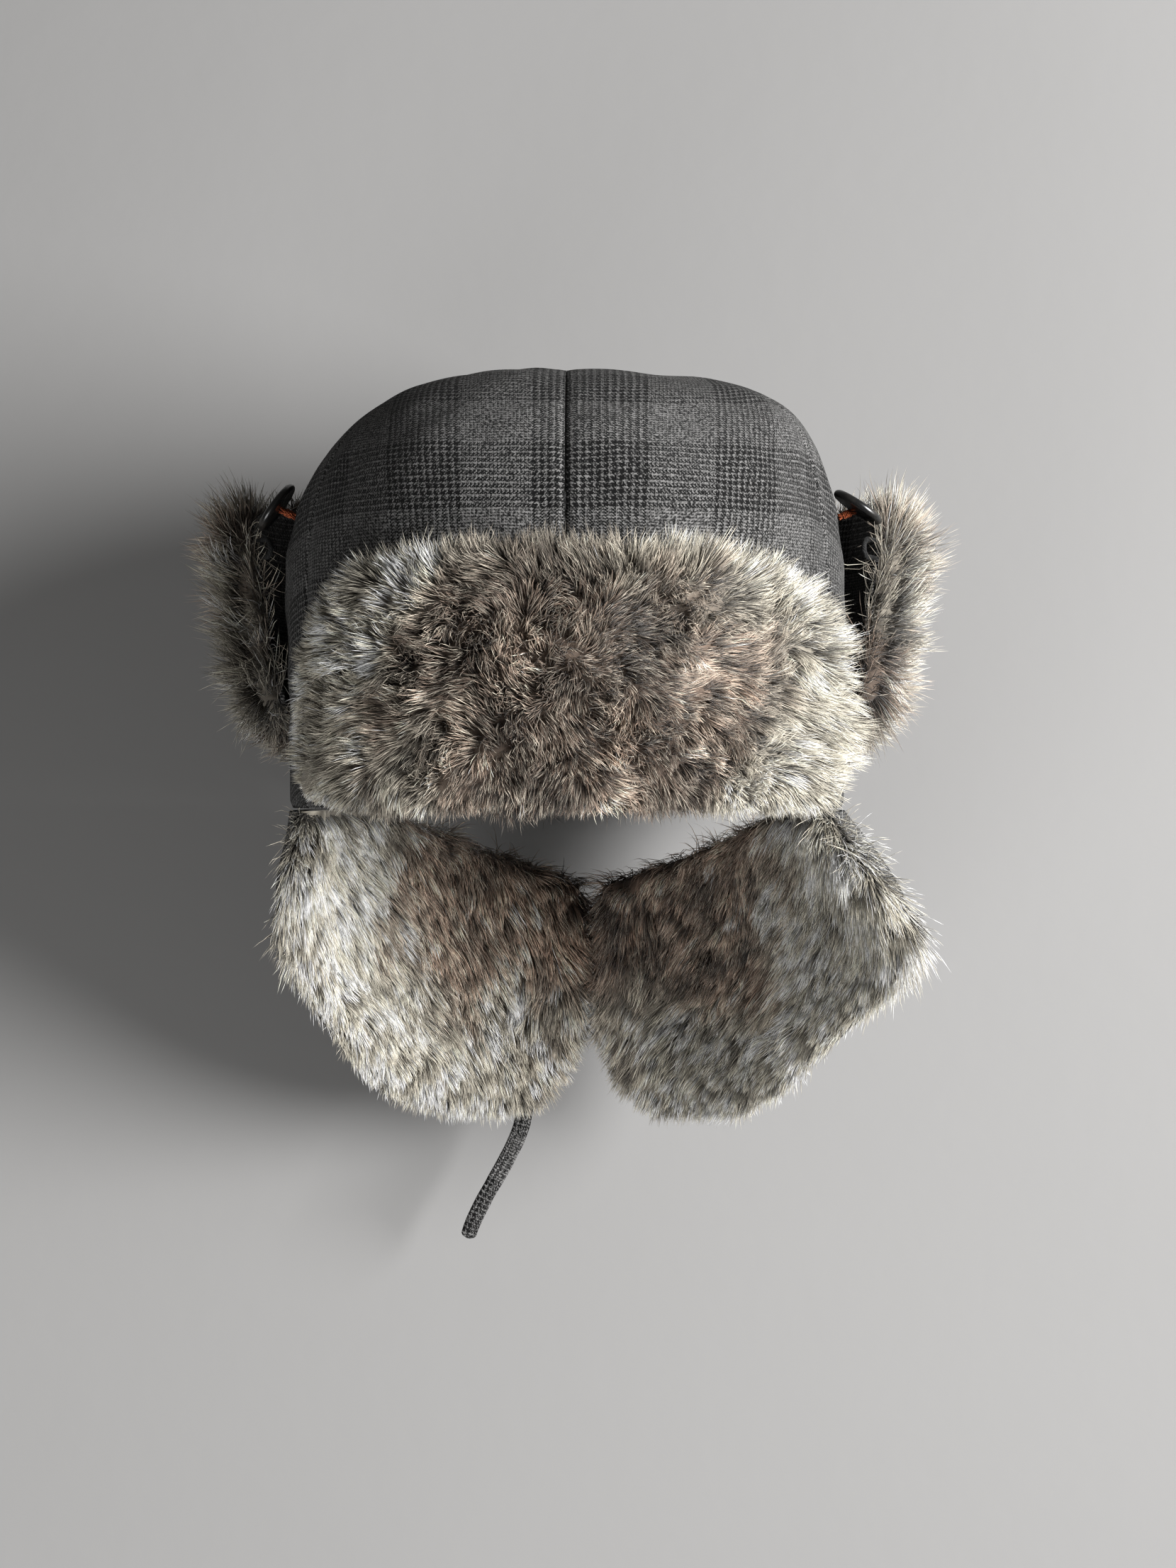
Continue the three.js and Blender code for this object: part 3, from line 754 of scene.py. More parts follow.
class Flap:
    """A whole flap: its surface, its outline, and its parts, each listed with a body of its own.

    place gives a point from an azimuth, a height and an offset. The cloth's offset is cloth, and the
    fur stands off its backing by direction. The outline is the azimuths and heights of the free edges,
    so it leaves out the stretch of the top where sewn is true.
    """

    mean_radius = 103

    def __init__(self, name, place, low, high, bottom, top, cloth, direction, parts, sewn=None):
        self.name = name
        self.place = place
        self.low = low
        self.high = high
        self.bottom = bottom
        self.top = top
        self.cloth = cloth
        self.direction = direction
        self.backing = cloth + direction * FUR_START
        self.parts = parts
        along = (1 - np.cos(np.linspace(0, math.pi, 160))) / 2
        azimuth = low + (high - low) * along
        down = np.linspace(0, 1, 30)[1:-1]
        ends = []
        for end in (high, low):
            bottom_end, top_end = bottom(np.array(end * 1.0)), top(np.array(end * 1.0))
            heights = bottom_end + (top_end - bottom_end) * down
            ends.append(np.stack([np.full(len(down), end * 1.0), heights], -1))
        free = azimuth if sewn is None else azimuth[~sewn(azimuth)]
        self.outline = np.concatenate([
            np.stack([azimuth, bottom(azimuth)], -1), ends[0],
            np.stack([free[::-1], top(free[::-1])], -1), ends[1][::-1]])

    def flat(self, azimuth, height):
        return np.stack([np.radians(azimuth) * self.mean_radius, height + 0.0 * azimuth], -1)

    def from_edge(self, azimuth, height):
        """Distance to the outline, and the direction to the nearest point of it, both laid flat."""
        loop = self.flat(self.outline[:, 0], self.outline[:, 1])
        here = self.flat(azimuth, height).reshape(-1, 2)
        distance = np.empty(len(here))
        towards = np.empty((len(here), 2))
        for start in range(0, len(here), 4000):
            chunk = here[start:start + 4000]
            gap = loop[None] - chunk[:, None]
            squares = (gap ** 2).sum(-1)
            nearest = squares.argmin(1)
            picked = gap[np.arange(len(chunk)), nearest]
            distance[start:start + 4000] = np.sqrt(squares.min(1))
            towards[start:start + 4000] = unit(picked)
        shape = np.shape(azimuth)
        return distance.reshape(shape), towards.reshape(shape + (2,))

    def directions(self, azimuth, height, offset):
        """Unit vectors round the head, up the flap and out of the fur."""
        place = self.place
        around = unit(place(azimuth + 0.4, height, offset) - place(azimuth - 0.4, height, offset))
        up = unit(place(azimuth, height + 0.5, offset) - place(azimuth, height - 0.5, offset))
        out = unit(np.cross(around, up)) * self.direction
        return around, up, out

    def grid(self, low, high, step=2.6, rows=40):
        """Azimuths and heights that cover one part, closer together at the flap's own ends."""
        columns = max(8, int(abs(high - low) * math.pi / 180 * self.mean_radius / step))
        share = np.linspace(0, 1, columns)
        if abs(high - self.high) < 0.01:
            share = np.sin(share * math.pi / 2) ** 0.9
        elif abs(low - self.low) < 0.01:
            share = 1 - np.sin((1 - share) * math.pi / 2) ** 0.9
        azimuth = low + (high - low) * share
        v, azimuth = np.meshgrid(np.linspace(0, 1, rows), azimuth, indexing="ij")
        height = self.bottom(azimuth) + (self.top(azimuth) - self.bottom(azimuth)) * v
        return azimuth, height


def flap_cloth(flap, part, material):
    """The cloth face of one part of a flap, with a rounded edge and a little slack."""
    name, low, high, parent, body, start, end = part
    azimuth, height = flap.grid(low, high)
    distance, _ = flap.from_edge(azimuth, height)
    round_edge = 0.2 + 0.8 * np.sqrt(1 - (1 - np.clip(distance / 1.6, 0, 1)) ** 2)
    base = flap.place(azimuth, height, flap.cloth + 0.0 * azimuth)
    slack = 0.35 * waves(base, 34, 21) * smooth(distance / 12)
    seam = 0.5 * np.exp(-((distance - 3.4) / 0.8) ** 2)
    face = -flap.direction
    middle = flap.cloth + flap.direction * CLOTH / 2
    outer = middle + face * (CLOTH / 2 * round_edge + slack - seam + 0.1)
    inner = middle - face * CLOTH / 2 * round_edge
    first, second = (outer, inner) if face > 0 else (inner, outer)
    grain = flap.flat(azimuth, height)
    piece = closed_sheet(f"{name}_cloth", flap.place(azimuth, height, first),
                         flap.place(azimuth, height, second), grain, material)
    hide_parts(f"{name}_shell")
    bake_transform(piece)
    return piece


def flap_underfur(flap, part, material, colour):
    """The backing and the dense lower part of the pile, kept near black as painted shade deep in the
    pile, like the strands' dark roots.
    """
    name, low, high, parent, body, start, end = part
    azimuth, height = flap.grid(low, high, rows=44)
    distance, _ = flap.from_edge(azimuth, height)
    base = flap.place(azimuth, height, flap.backing + 0.0 * azimuth)
    round_edge = np.sqrt(1 - (1 - np.clip(distance / 7, 0, 1)) ** 2)
    lumps = 1 + 0.22 * waves(base, 11, 31)
    thick = 0.3 + (0.52 * FUR_PILE * lumps) * round_edge
    wadding = flap.backing - flap.direction * (FUR_START - CLOTH - 0.3)
    far = flap.backing + flap.direction * thick
    near = wadding + 0.0 * azimuth
    first, second = (far, near) if flap.direction > 0 else (near, far)
    grain = flap.flat(azimuth, height)
    piece = closed_sheet(f"{name}_underfur", flap.place(azimuth, height, first),
                         flap.place(azimuth, height, second), grain, material)
    # Painted shade: the underfur is the near black of the roots plus a little of the pile's colour,
    # standing for the shade deep in the pile
    dark = ROOT_AND_PILE_SHADE + 0.22 * colour(azimuth.ravel(), height.ravel(), base.reshape(-1, 3))
    add_tint(piece, np.concatenate([dark, dark]))
    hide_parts(f"{name}_fur", f"{name}_wadding")
    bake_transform(piece)


STRAND_LEVELS = np.array([0.0, 0.4, 0.75])
STRAND_WIDTHS = np.array([1.0, 0.9, 0.62])
MOST_STRANDS = 12000  # in one piece
STRANDS_IN_TUFT = 26
ROLLED_EDGE = 2.6  # how far in from a free edge the pile starts to turn round it


def strand_mesh(name, centres, tips_at, thickness, tints, material):
    """Closed three-sided strands. centres is strands x levels x 3, and tips_at the tip of each."""
    count, levels = centres.shape[:2]
    forward = unit(tips_at - centres[:, 0])
    helper = np.where(np.abs(forward[:, 2:]) > 0.8, np.array([[1.0, 0, 0]]), np.array([[0, 0, 1.0]]))
    side = unit(np.cross(forward, helper))
    other = np.cross(forward, side)
    rings = np.empty((count, levels, 3, 3))
    for corner in range(3):
        angle = corner * 2 * math.pi / 3
        outward = math.cos(angle) * side + math.sin(angle) * other
        rings[:, :, corner] = centres + outward[:, None] * (thickness[:, None] * STRAND_WIDTHS)[..., None]
    each = levels * 3 + 1
    points = np.concatenate([rings.reshape(count, -1, 3), tips_at[:, None]], axis=1)
    first = np.arange(count)[:, None] * each
    base = np.array([[0, 2, 1]])
    quads = np.array([[3 * level + a, 3 * level + b, 3 * level + 3 + b, 3 * level + 3 + a]
                      for level in range(levels - 1) for a, b in ((0, 1), (1, 2), (2, 0))])
    last = 3 * (levels - 1)
    point_faces = np.array([[last + a, last + b, each - 1] for a, b in ((0, 1), (1, 2), (2, 0))])
    triangles = np.concatenate([base, point_faces])
    faces = [(first[:, :, None] + quads[None]).reshape(-1, 4),
             (first[:, :, None] + triangles[None]).reshape(-1, 3)]
    piece = make_mesh(name, points.reshape(-1, 3), faces, material)
    colours = np.concatenate([np.repeat(tints[:, :levels], 3, axis=1), tints[:, levels:]], axis=1)
    add_tint(piece, colours.reshape(-1, 3))
    return piece


def scatter_roots(flap, count, extra, random):
    """Azimuths and heights for the strands' roots, closer together towards the flap's edges."""
    azimuth = random.uniform(flap.low, flap.high, count * 6)
    low, high = flap.bottom(azimuth), flap.top(azimuth)
    height = low + (high - low).max() * random.uniform(size=len(azimuth))
    inside = height < high
    azimuth, height = azimuth[inside], height[inside]
    if extra is not None:
        more_azimuth, more_height = extra(random)
        azimuth = np.concatenate([more_azimuth, azimuth])
        height = np.concatenate([more_height, height])
    distance, towards = flap.from_edge(azimuth, height)
    share = np.where(distance < 7, 0.62, 0.36)
    keep = random.uniform(size=len(azimuth)) < np.where(distance < ROLLED_EDGE, 1.0, share)
    return (a[keep][:count] for a in (azimuth, height, distance, towards))


def nearest_of(points, chosen):
    """For each point, which of the chosen ones is nearest."""
    tree = KDTree(len(chosen))
    for i, point in enumerate(chosen):
        tree.insert(point, i)
    tree.balance()
    return np.array([tree.find(point)[1] for point in points])


def strand_line(roots, early, late, full, gather, to_tuft):
    """Points along each strand and its tip, drawn towards the strand in the middle of its tuft."""
    centres = []
    for level in STRAND_LEVELS:
        straight = roots + full * (level * early * (1 - level * 0.5) + level ** 2 * 0.5 * late)
        pull = gather * level ** 1.5 * 0.55
        target = straight + to_tuft
        centres.append(straight * (1 - pull) + target * pull)
    straight = roots + full * (0.5 * early + 0.5 * late)
    pull = gather * 0.55
    ends = straight * (1 - pull) + (straight + to_tuft) * pull
    return np.stack(centres, axis=1), ends


def flap_strands(flap, count, length, wrap, band, comb, colour, extra, material, seed):
    """Grows the whole flap's pile in tufts, and gives each part its own pieces of it."""
    random = np.random.default_rng(seed)
    wanted = count
    azimuth, height, distance, towards = scatter_roots(flap, wanted, extra, random)
    count = len(azimuth)

    edge = np.clip(distance / band, 0, 1)
    round_edge = np.sqrt(1 - (1 - edge) ** 2)
    rolled = np.clip(1 - distance / ROLLED_EDGE, 0, 1) ** 0.6
    root_offset = flap.backing + flap.direction * (0.2 + 0.30 * FUR_PILE * round_edge - 4.2 * rolled)
    roots = flap.place(azimuth, height, root_offset)
    around, up, out = flap.directions(azimuth, height, flap.backing)
    over = towards[:, :1] * around + towards[:, 1:] * up
    turned = wrap(azimuth, height) * rolled * random.uniform(0.0, 1.0, count)
    fan = np.radians(75 * (1 - edge) + turned)[:, None]
    stand = np.cos(fan) * out + np.sin(fan) * over
    combed = comb(azimuth, height, roots)
    lie = (combed[:, :1] * around + combed[:, 1:] * up) * (1 - 0.65 * rolled)[:, None]

    tuft_count = max(8, count // STRANDS_IN_TUFT)
    chosen = roots[random.choice(count, tuft_count, replace=False)]
    tuft = nearest_of(roots, chosen)
    tuft_swing = random.normal(size=(tuft_count, 3)) * 0.26
    tuft_shade = np.exp(random.normal(size=tuft_count) * 0.30)
    tuft_length = np.exp(random.normal(size=tuft_count) * 0.13)

    own = random.normal(size=(count, 3)) * 0.13
    full = length(azimuth, height) * tuft_length[tuft] * random.uniform(0.70, 1.12, count)
    early = unit(stand + 0.35 * lie + 0.5 * own)
    late = unit(stand * 0.65 + lie + tuft_swing[tuft] + own)
    gather = (random.uniform(0.30, 0.80, count) * (1.15 - 0.35 * edge))[:, None]
    centres, ends = strand_line(roots, early, late, full[:, None], gather, chosen[tuft] - roots)

    tips = colour(azimuth, height, roots)
    dark_hair = np.where(random.uniform(size=count) < 0.14, 0.35, 1.0)
    shade = (tuft_shade[tuft] * dark_hair * np.exp(random.normal(size=count) * 0.20))[:, None]
    frosted = (random.uniform(size=count) < 0.45)[:, None]
    tips = np.clip(np.where(frosted, 0.6 * tips + 0.4 * CREAM, tips) * shade, 0.01, 0.92)
    # Painted shade: each strand runs from near black at its root, partly dark roots and partly shade deep
    # in the pile, up to its tip colour
    low_tint = ROOT_AND_PILE_SHADE + 0.04 * tips
    tints = np.stack([low_tint + share * (tips - low_tint) for share in (0, 0.25, 0.78, 1)], axis=1)
    thickness = random.uniform(0.11, 0.19, count)

    for name, low, high, parent, body, start, end in flap.parts:
        mine = np.flatnonzero((azimuth >= low) & (azimuth < high))
        pieces = max(1, math.ceil(len(mine) / MOST_STRANDS))
        for number, some in enumerate(np.array_split(mine, pieces)):
            piece = strand_mesh(f"{name}_pile_{number + 1}", centres[some], ends[some], thickness[some],
                                tints[some], material)
            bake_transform(piece)


def mottle(points, seed):
    """Light and dark patches, large and small."""
    return np.exp(0.36 * waves(points, 26, seed) + 0.28 * waves(points, 9, seed + 1))[:, None]


def front_flap_colour(azimuth, height, points):
    """Brown in the middle, cream towards the ends and the corners."""
    across = np.abs(azimuth + 90) / FRONT_FLAP_HALF_ANGLE
    high = (height - FLAP_FOOT) / (FRONT_FLAP_HEIGHT - FLAP_FOOT)
    uneven = 0.16 * waves(points, 40, 41) + 0.08 * waves(points, 14, 42)
    pale = smooth(across + 0.12 * np.abs(2 * high - 1) ** 2 + uneven, 0.36, 0.84)
    edge = 0.45 * smooth(high + 0.1 * uneven, 0.84, 1.02)
    share = np.clip(pale + edge, 0, 1)[:, None]
    middle = BROWN + (TAUPE - BROWN) * smooth(0.5 + 0.9 * waves(points, 22, 43))[:, None]
    return (middle * 0.95 * (1 - share) + CREAM * share) * mottle(points, 44)


def back_flap_colour(azimuth, height, points):
    """Beige and brown, with a browner fringe along the top and the ends."""
    high = (height - back_flap_bottom(azimuth)) / (BACK_FLAP_HEIGHT - FLAP_FOOT)
    fringe = smooth(high + 0.1 * waves(points, 30, 51), 0.80, 1.0)[:, None]
    pale = smooth(0.5 + 0.8 * waves(points, 30, 52))[:, None]
    base = TAUPE * 1.15 * (1 - pale) + (CREAM * 0.80) * pale
    return (base * (1 - 0.55 * fringe) + BROWN * 0.55 * fringe) * mottle(points, 53)


def ear_flap_colour(side):
    def colour(azimuth, height, points):
        """Cream along the front and the tip, pinkish brown inside towards the back."""
        angle = ear_angle(side, azimuth)
        uneven = 7 * waves(points, 34, 61) + 3 * waves(points, 12, 62)
        inner = 0.9 * smooth(angle + uneven, 24, 46) * smooth(height + 1.4 * uneven, -84, -54)
        rear = 0.55 * smooth(angle + uneven, 66, 82)
        brown = np.clip(inner * (1 - 0.4 * rear) + rear * 0.5, 0, 1)[:, None]
        pinkish = TAUPE * np.array([1.12, 0.98, 0.92])
        streaks = np.exp(0.42 * waves(points * np.array([1.0, 1.0, 0.30]), 5, 63))[:, None]
        return (1.25 * CREAM * (1 - brown) + 1.1 * pinkish * brown) * mottle(points, 64) * streaks
    return colour


def front_length(azimuth, height):
    """Longer towards the right end of the flap, shorter at the left one."""
    across = (azimuth + 90) / FRONT_FLAP_HALF_ANGLE
    low = 1 - smooth((height - FLAP_FOOT) / 12)
    ends = 3.5 * smooth(across, 0.5, 0.95) - 4.5 * smooth(-across, 0.7, 0.95)
    return 11.5 + ends - (4.0 + 3.0 * smooth(across, 0.4, 0.9)) * low


def front_wrap(azimuth, height):
    """How many degrees further the pile turns round the edges."""
    return 50 + 0 * azimuth


def back_wrap(azimuth, height):
    return 75 + 0 * azimuth


def ear_wrap(side):
    most = {"left": 50, "right": 75}[side]
    return lambda azimuth, height: 20 + most * smooth(height, -70, -35)


def back_length(azimuth, height):
    return 12.0 + 7.0 * smooth(np.abs(azimuth - 90), 70, 92)


def ear_length(side):
    def length(azimuth, height):
        """Longest in the band along the front edge, shorter at the tip and the back."""
        angle = ear_angle(side, azimuth)
        from_tip = (height - ear_flap_bottom(angle)) / 24
        upper = smooth(height, -62, -30)
        front = (1 - smooth(angle, -5, 25)) * (1 + 3.5 * upper if side == "right" else 1.5 * upper)
        return 13.0 + front - 4.5 * (1 - smooth(from_tip)) * smooth(angle, -20, 5)
    return length


def ear_fringe(side):
    count = {"left": 500, "right": 1300}[side]

    def fringe(random):
        """More roots round the front of the flap, where its pile turns outward over the cloth."""
        on_front = random.uniform(size=count) < 0.4
        behind_front = random.uniform(0, 30, count) * np.where(on_front, 0.04, 1.0)
        angle = EAR_FLAP_FRONT + behind_front
        low = ear_flap_bottom(angle)
        high = np.where(on_front, -1.5, low + 2.4)
        return ear_azimuth(side, angle), random.uniform(low, high)
    return fringe


def front_comb(azimuth, height, points):
    """Out from the middle of the flap, with loose swirls."""
    across = (azimuth + 90) / FRONT_FLAP_HALF_ANGLE
    high = 2 * (height - FLAP_FOOT) / (FRONT_FLAP_HEIGHT - FLAP_FOOT) - 1
    return np.stack([0.75 * across + 0.45 * waves(points, 24, 71),
                     0.55 * high - 0.10 + 0.45 * waves(points, 24, 72)], -1)


def back_comb(azimuth, height, points):
    """Up the flap, and a little out to its ends."""
    across = (azimuth - 90) / BACK_FLAP_HALF_ANGLE
    return np.stack([0.35 * across + 0.35 * waves(points, 28, 73),
                     0.45 + 0.35 * waves(points, 28, 74)], -1)


def ear_comb(side):
    sign = 1 if side == "right" else -1

    def comb(azimuth, height, points):
        """Down the flap, and forward over its front edge."""
        angle = ear_angle(side, azimuth)
        forward = -0.8 * (1 - smooth(angle, -30, 30)) + 0.15 * smooth(angle, 40, 85)
        around = sign * forward + 0.22 * waves(points, 30, 75)
        return 1.8 * np.stack([around, -0.95 + 0.22 * waves(points, 30, 76)], -1)
    return comb


def blend_part(flap_place, name, low, high, parent, body, fold, beyond, height, offset):
    """A part's entry: its names and azimuths, and a point at its fold line and one beyond it."""
    start = flap_place(np.array(fold * 1.0), np.array(height * 1.0), np.array(offset * 1.0)) * MM
    end = flap_place(np.array(beyond * 1.0), np.array(height * 1.0), np.array(offset * 1.0)) * MM
    return (name, low, high, parent, body, tuple(start), tuple(end))


def turned_up_flap(name, place, middle, half, fold, bottom, top, wings, blend_height, hinge):
    """A flap folded up against the crown: a middle part, and a wing on each side of it."""
    low_wing, high_wing = (f"{name}_{side}_wing" for side in wings)
    low_fold, high_fold = middle - fold, middle + fold
    parts = [
        blend_part(place, low_wing, middle - half, low_fold, name, low_wing,
                   low_fold, low_fold - WING_BLEND, blend_height, 9),
        (f"{name}_middle", low_fold, high_fold, "crown", name, *hinge),
        blend_part(place, high_wing, high_fold, middle + half, name, high_wing,
                   high_fold, high_fold + WING_BLEND, blend_height, 9)]
    return Flap(name, place, middle - half, middle + half, bottom, top, FLAP_CLEARANCE, 1, parts)


def make_flaps():
    front = turned_up_flap("front_flap", wall_point, -90, FRONT_FLAP_HALF_ANGLE, FRONT_FLAP_FOLD_ANGLE,
                           front_flap_bottom, front_flap_top, ("left", "right"), 40,
                           ((0, -0.117, 0.0), (0, -0.117, 0.010)))
    back = turned_up_flap("back_flap", back_flap_point, 90, BACK_FLAP_HALF_ANGLE, BACK_FLAP_FOLD_ANGLE,
                          back_flap_bottom, back_flap_top, ("right", "left"), 50,
                          ((0, 0.117, 0.004), (0, 0.117, 0.020)))
    ears = []
    for side in SIDES:
        def place(azimuth, height, offset, side=side):
            return ear_flap_point(side, azimuth, height, offset)
        ends = sorted([ear_azimuth(side, EAR_FLAP_FRONT), ear_azimuth(side, EAR_FLAP_REAR)])
        crease = ear_azimuth(side, EAR_FLAP_FOLD)
        front_end = ear_azimuth(side, EAR_FLAP_FRONT)
        rear_end = ear_azimuth(side, EAR_FLAP_REAR)
        x = SIDE_SIGN[side] * 0.094
        side_part = (f"{side}_ear_flap_side", min(front_end, crease), max(front_end, crease), "crown",
                     f"{side}_ear_flap", (x, 0, -0.001), (x, 0, -0.012))
        rear_part = blend_part(place, f"{side}_ear_flap_rear", min(crease, rear_end),
                               max(crease, rear_end), f"{side}_ear_flap", f"{side}_ear_flap_rear", crease,
                               ear_azimuth(side, EAR_FLAP_FOLD + WING_BLEND), -50, -5)
        ears.append(Flap(f"{side}_ear_flap", place, ends[0], ends[1],
                         lambda azimuth, side=side: ear_flap_bottom(ear_angle(side, azimuth)),
                         lambda azimuth, side=side: ear_flap_top(ear_angle(side, azimuth)),
                         0, -1, [side_part, rear_part],
                         lambda azimuth, side=side: ear_angle(side, azimuth) < EAR_FLAP_SEAM_END))
    return front, back, ears


def add_flaps(cloth, under, pile):
    front, back, ears = make_flaps()
    looks = [(front, 38000, front_length, front_wrap, 7, front_comb, front_flap_colour, None),
             (back, 38000, back_length, back_wrap, 8, back_comb, back_flap_colour, None)]
    for ear, side in zip(ears, SIDES):
        looks.append((ear, 34000, ear_length(side), ear_wrap(side), 12, ear_comb(side),
                      ear_flap_colour(side), ear_fringe(side)))
    for number, (flap, count, length, wrap, band, comb, colour, extra) in enumerate(looks):
        for part in flap.parts:
            flap_cloth(flap, part, cloth)
            flap_underfur(flap, part, under, colour)
        flap_strands(flap, count, length, wrap, band, comb, colour, extra, pile, 101 + number)


# ---- Buttons and loops ----


def shank_base(side):
    azimuth = -BUTTON_AZIMUTH if side == "right" else 180 + BUTTON_AZIMUTH
    point = wall_point(azimuth, BUTTON_HEIGHT, SEAM_GAP)
    scale = shoulder_scale(BUTTON_HEIGHT)
    return point * np.array([scale, scale, 1])


def button_axis(side):
    tilt = math.radians(BUTTON_TILT[side])
    return np.array([SIDE_SIGN[side] * math.cos(tilt), 0, math.sin(tilt)])


def button_centre(side):
    return shank_base(side) + np.array([SIDE_SIGN[side] * BUTTON_STANDOFF, 0, BUTTON_STANDOFF / 2])


def button_profile():
    """Radius and lift from the middle of the back, round the rim, to the middle of the dish."""
    half = BUTTON_THICKNESS / 2
    rim = BUTTON_RADIUS - BUTTON_ROUND
    back = [(0.3, -half)] + [(r, -half) for r in np.linspace(1.5, rim - 0.6, 6)]
    turn = np.linspace(-math.pi / 2, math.pi / 2, 9)
    rolled = [(rim + BUTTON_ROUND * math.cos(a), half * math.sin(a)) for a in turn]
    inward = np.linspace(0, 1, 30)[1:-1]
    dish = [(rim * (1 - s), half - BUTTON_DISH * float(smooth(s, 0.08, 0.26))) for s in inward]
    return back + rolled + dish


def add_button_disc(side, centre, axes, material):
    """A dished disc with four holes."""
    across, up, axis = axes
    sides = 96
    angle = np.arange(sides) * 2 * math.pi / sides
    holes_at = [(x, y) for y in (HOLE_SPACING, -HOLE_SPACING) for x in (HOLE_SPACING, -HOLE_SPACING)]
    rings = []
    for index, (radius, lift) in enumerate(button_profile()):
        flat = np.stack([radius * np.cos(angle), radius * np.sin(angle)], -1)
        holes = sum(np.exp(-(((flat - np.array(at)) ** 2).sum(-1) / 0.55 ** 2) ** 2) for at in holes_at)
        sink = 1.1 * holes if lift > 0 and index > 16 else 0
        lifted = (lift - sink + 0.0 * angle)[:, None] * axis
        rings.append(centre + flat[:, :1] * across + flat[:, 1:] * up + lifted)
    points = np.array(rings)
    faces = ring_faces(*points.shape[:2])
    piece = make_mesh(f"{side}_button_disc", points.reshape(-1, 3), faces, material)
    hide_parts(f"{side}_button")
    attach(piece, f"{side}_button")


def spiral(base, reach, share, phase, spread, sideways, other):
    """A path along reach that turns round it at a distance of spread."""
    return (base + share[:, None] * reach + (spread * np.cos(phase))[:, None] * sideways
            + (spread * np.sin(phase))[:, None] * other)


def button_threads(side, centre, axes):
    """Threads across the dish, a twisted shank under the button, and a few turns round it."""
    across, up, axis = axes
    half = BUTTON_THICKNESS / 2
    paths = []
    face = centre + axis * (half - BUTTON_DISH)
    for row in (-HOLE_SPACING, HOLE_SPACING):
        for strand in (-0.28, 0.0, 0.28):
            share = np.linspace(-1, 1, 11)
            lift = 0.55 * (1 - share ** 4) - 0.25 * share ** 8
            paths.append(face + (HOLE_SPACING * share)[:, None] * across + (row + strand) * up
                         + lift[:, None] * axis)
    base = shank_base(side)
    reach = centre - axis * half - base
    along = unit(reach)
    sideways = unit(np.cross(along, [0.2, 1.0, 0.1]))
    other = np.cross(along, sideways)
    share = np.linspace(0.06, 0.99, 26)
    spread = 1.05 - 0.45 * np.sin(share * math.pi)
    for strand in range(6):
        phase = strand * math.pi / 3 + share * 2.4
        paths.append(spiral(base, reach, share, phase, spread, sideways, other))
    turns = np.linspace(0, 1, 90)
    paths.append(spiral(base, reach, 0.30 + 0.42 * turns, turns * 2 * math.pi * 5, 1.12, sideways, other))
    return paths


def add_button(side, resin, thread):
    axis = button_axis(side)
    across = np.array([0, 1.0, 0])
    axes = (across, np.cross(axis, across), axis)
    centre = button_centre(side)
    add_button_disc(side, centre, axes, resin)
    paths = button_threads(side, centre, axes)
    sewn = tubes(f"{side}_button_sewing", paths, 0.30, 8, thread)
    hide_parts(f"{side}_button_thread")
    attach(sewn, f"{side}_button")


def add_loop(side, material):
    """Covered elastic, sewn between the layers of the back flap's free end."""
    sign = SIDE_SIGN[side]
    straight = LOOP_LENGTH - LOOP_WIDTH / 2
    outline = [(0, LOOP_WIDTH / 2), (straight / 2, LOOP_WIDTH / 2)]
    for angle in np.linspace(0, math.pi, 15):
        outline.append((straight + math.sin(angle) * LOOP_WIDTH / 2, math.cos(angle) * LOOP_WIDTH / 2))
    outline += [(straight / 2, -LOOP_WIDTH / 2), (0, -LOOP_WIDTH / 2)]
    flap_end = 90 - sign * BACK_FLAP_HALF_ANGLE
    origin = back_flap_point(np.array(flap_end * 1.0), np.array(LOOP_HEIGHT * 1.0),
                             np.array(FLAP_CLEARANCE + CLOTH / 2))
    origin[1] -= SEAM_GAP + LOOP_WIRE
    heading = math.radians(-90 - sign * LOOP_TURN_IN)
    forward = np.array([math.cos(heading), math.sin(heading), 0])
    path = smooth_route([origin + along * forward + np.array([0, 0, up]) for along, up in outline], 4)
    piece = tubes(f"{side}_loop_cord", [path], LOOP_WIRE, 14, material)
    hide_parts(f"{side}_elastic_loop")
    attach(piece, f"back_flap_{side}_wing")


# ---- Stage ----


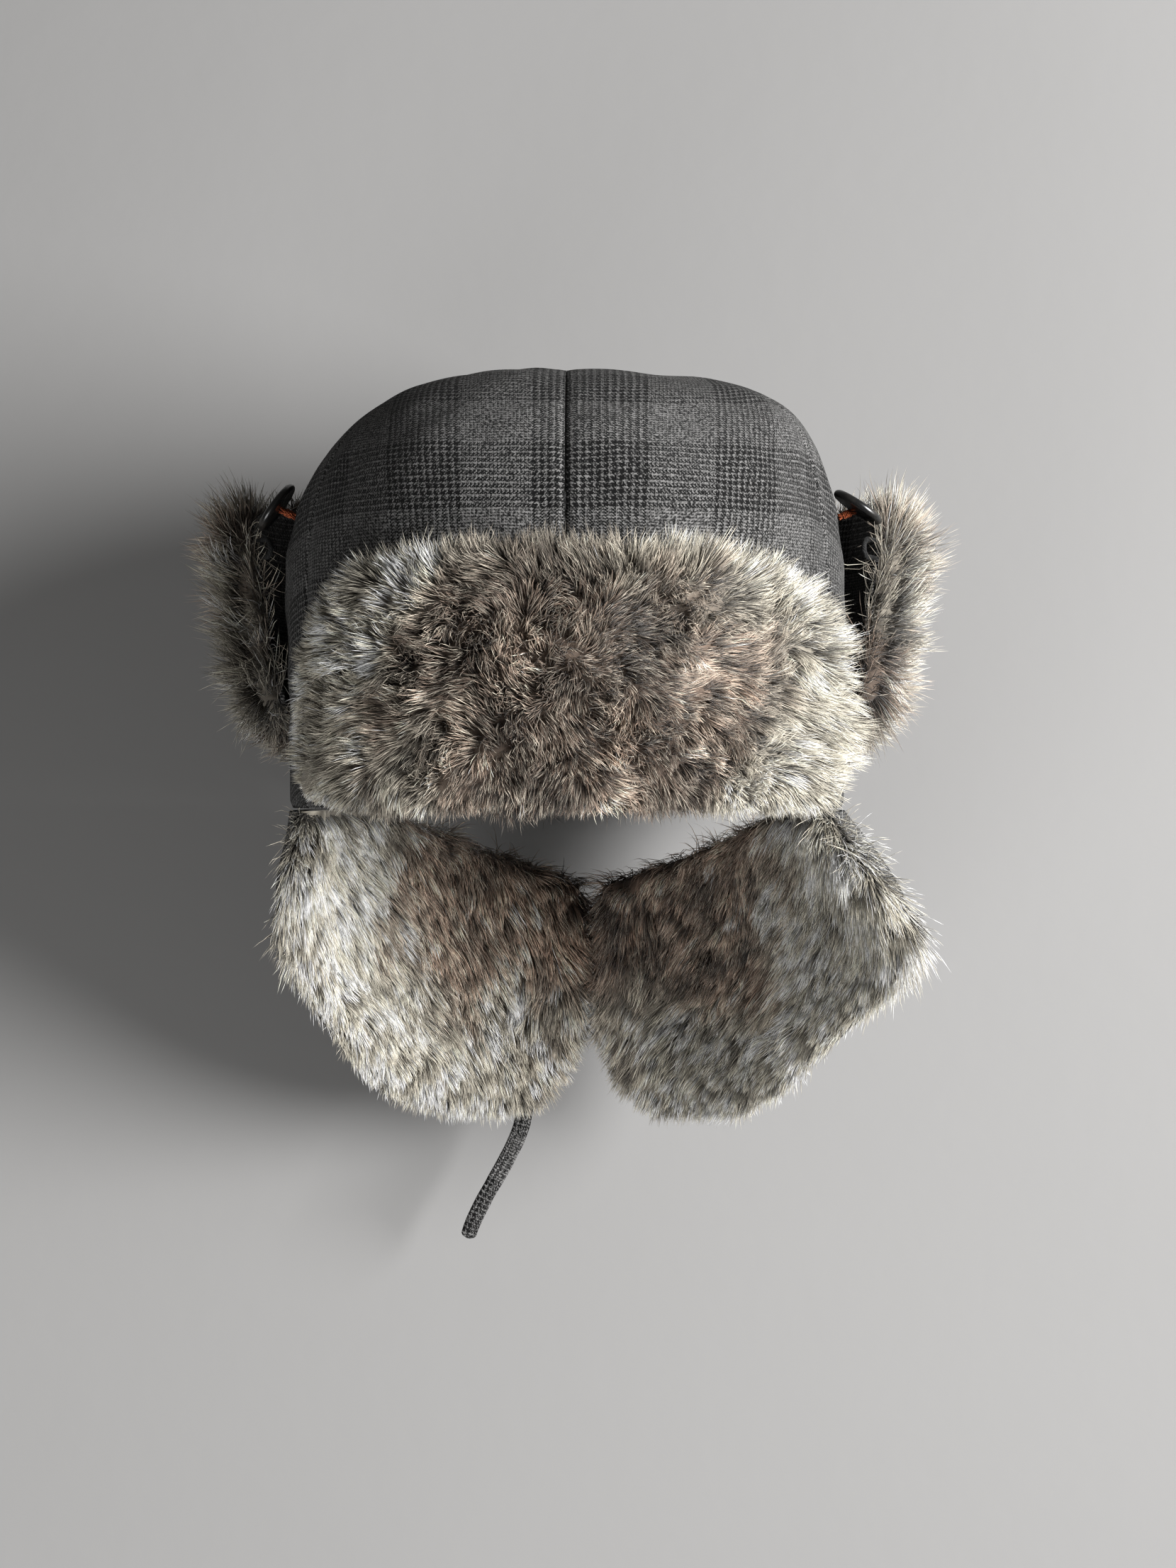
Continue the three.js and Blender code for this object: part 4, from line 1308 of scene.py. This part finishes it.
def add_stage():
    """The hat lies on its back on a pale floor, which is behind it in this frame, seen from above."""
    floor_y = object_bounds()[1][1] + 0.0005
    rings, sides = 24, 96
    radius = np.linspace(0.02, 1.5, rings)
    angle = np.arange(sides) * 2 * math.pi / sides
    points = np.stack([radius[:, None] * np.cos(angle), np.full((rings, sides), floor_y),
                       -radius[:, None] * np.sin(angle)], -1) / MM
    paint = floor_paint()
    faces = ring_faces(rings, sides)[:2]
    floor = make_mesh("floor", points.reshape(-1, 3), faces, paint.material)
    position = paint.node("ShaderNodeTexCoord").outputs["Object"]
    away = paint.node("ShaderNodeVectorMath", {0: position, 1: (1, 0, 1)}, operation="MULTIPLY")
    length = paint.node("ShaderNodeVectorMath", {0: away.outputs[0]}, operation="LENGTH")
    fade = paint.span(length.outputs["Value"], 0.55, 1.4, 1.0, 0.0)
    front = paint.math("SUBTRACT", 1.0, paint.node("ShaderNodeNewGeometry").outputs["Backfacing"])
    paint.put(paint.shader.inputs["Alpha"], paint.math("MULTIPLY", fade, front))

    world = bpy.data.worlds.new("surroundings")
    world.use_nodes = True
    background = world.node_tree.nodes["Background"]
    background.inputs["Color"].default_value = (0.50, 0.50, 0.485, 1)
    background.inputs["Strength"].default_value = 0.16
    bpy.context.scene.world = world


def add_light(name, location, size, power):
    light = bpy.data.lights.new(name, "AREA")
    light.shape = "DISK"
    light.size = size
    light.energy = power
    holder = bpy.data.objects.new(name, light)
    holder.location = location
    holder.rotation_euler = (Vector((0, 0, 0.02)) - Vector(location)).to_track_quat("-Z", "Y").to_euler()
    bpy.context.scene.collection.objects.link(holder)


def add_lights():
    add_light("window", (1.20, -1.02, 0.16), 0.9, 74)
    add_light("low_fill", (-0.45, -0.62, -0.70), 0.6, 5.5)
    add_light("back_fill", (0.3, 1.3, 0.35), 0.9, 60)


def main():
    wool = wool_check()
    under = fur("underfur", 0.85)
    pile = fur("fur_pile", 0.62)
    dark_thread = twisted_thread("dark_sewing_thread", grey(0.012), grey(0.05))
    rust_thread = twisted_thread("rust_thread", (0.16, 0.030, 0.012, 1), (0.46, 0.12, 0.045, 1))
    elastic = twisted_thread("covered_elastic", grey(0.006), grey(0.022))

    add_camera()
    add_chin_strap(wool, dark_thread)
    add_strap_tab(wool, dark_thread)
    add_crown(wool, satin())
    add_sweatband(knitted_band())
    add_flaps(wool, under, pile)
    resin = horn_black()
    for side in SIDES:
        add_button(side, resin, rust_thread)
        add_loop(side, elastic)
    add_stage()
    add_lights()


main()
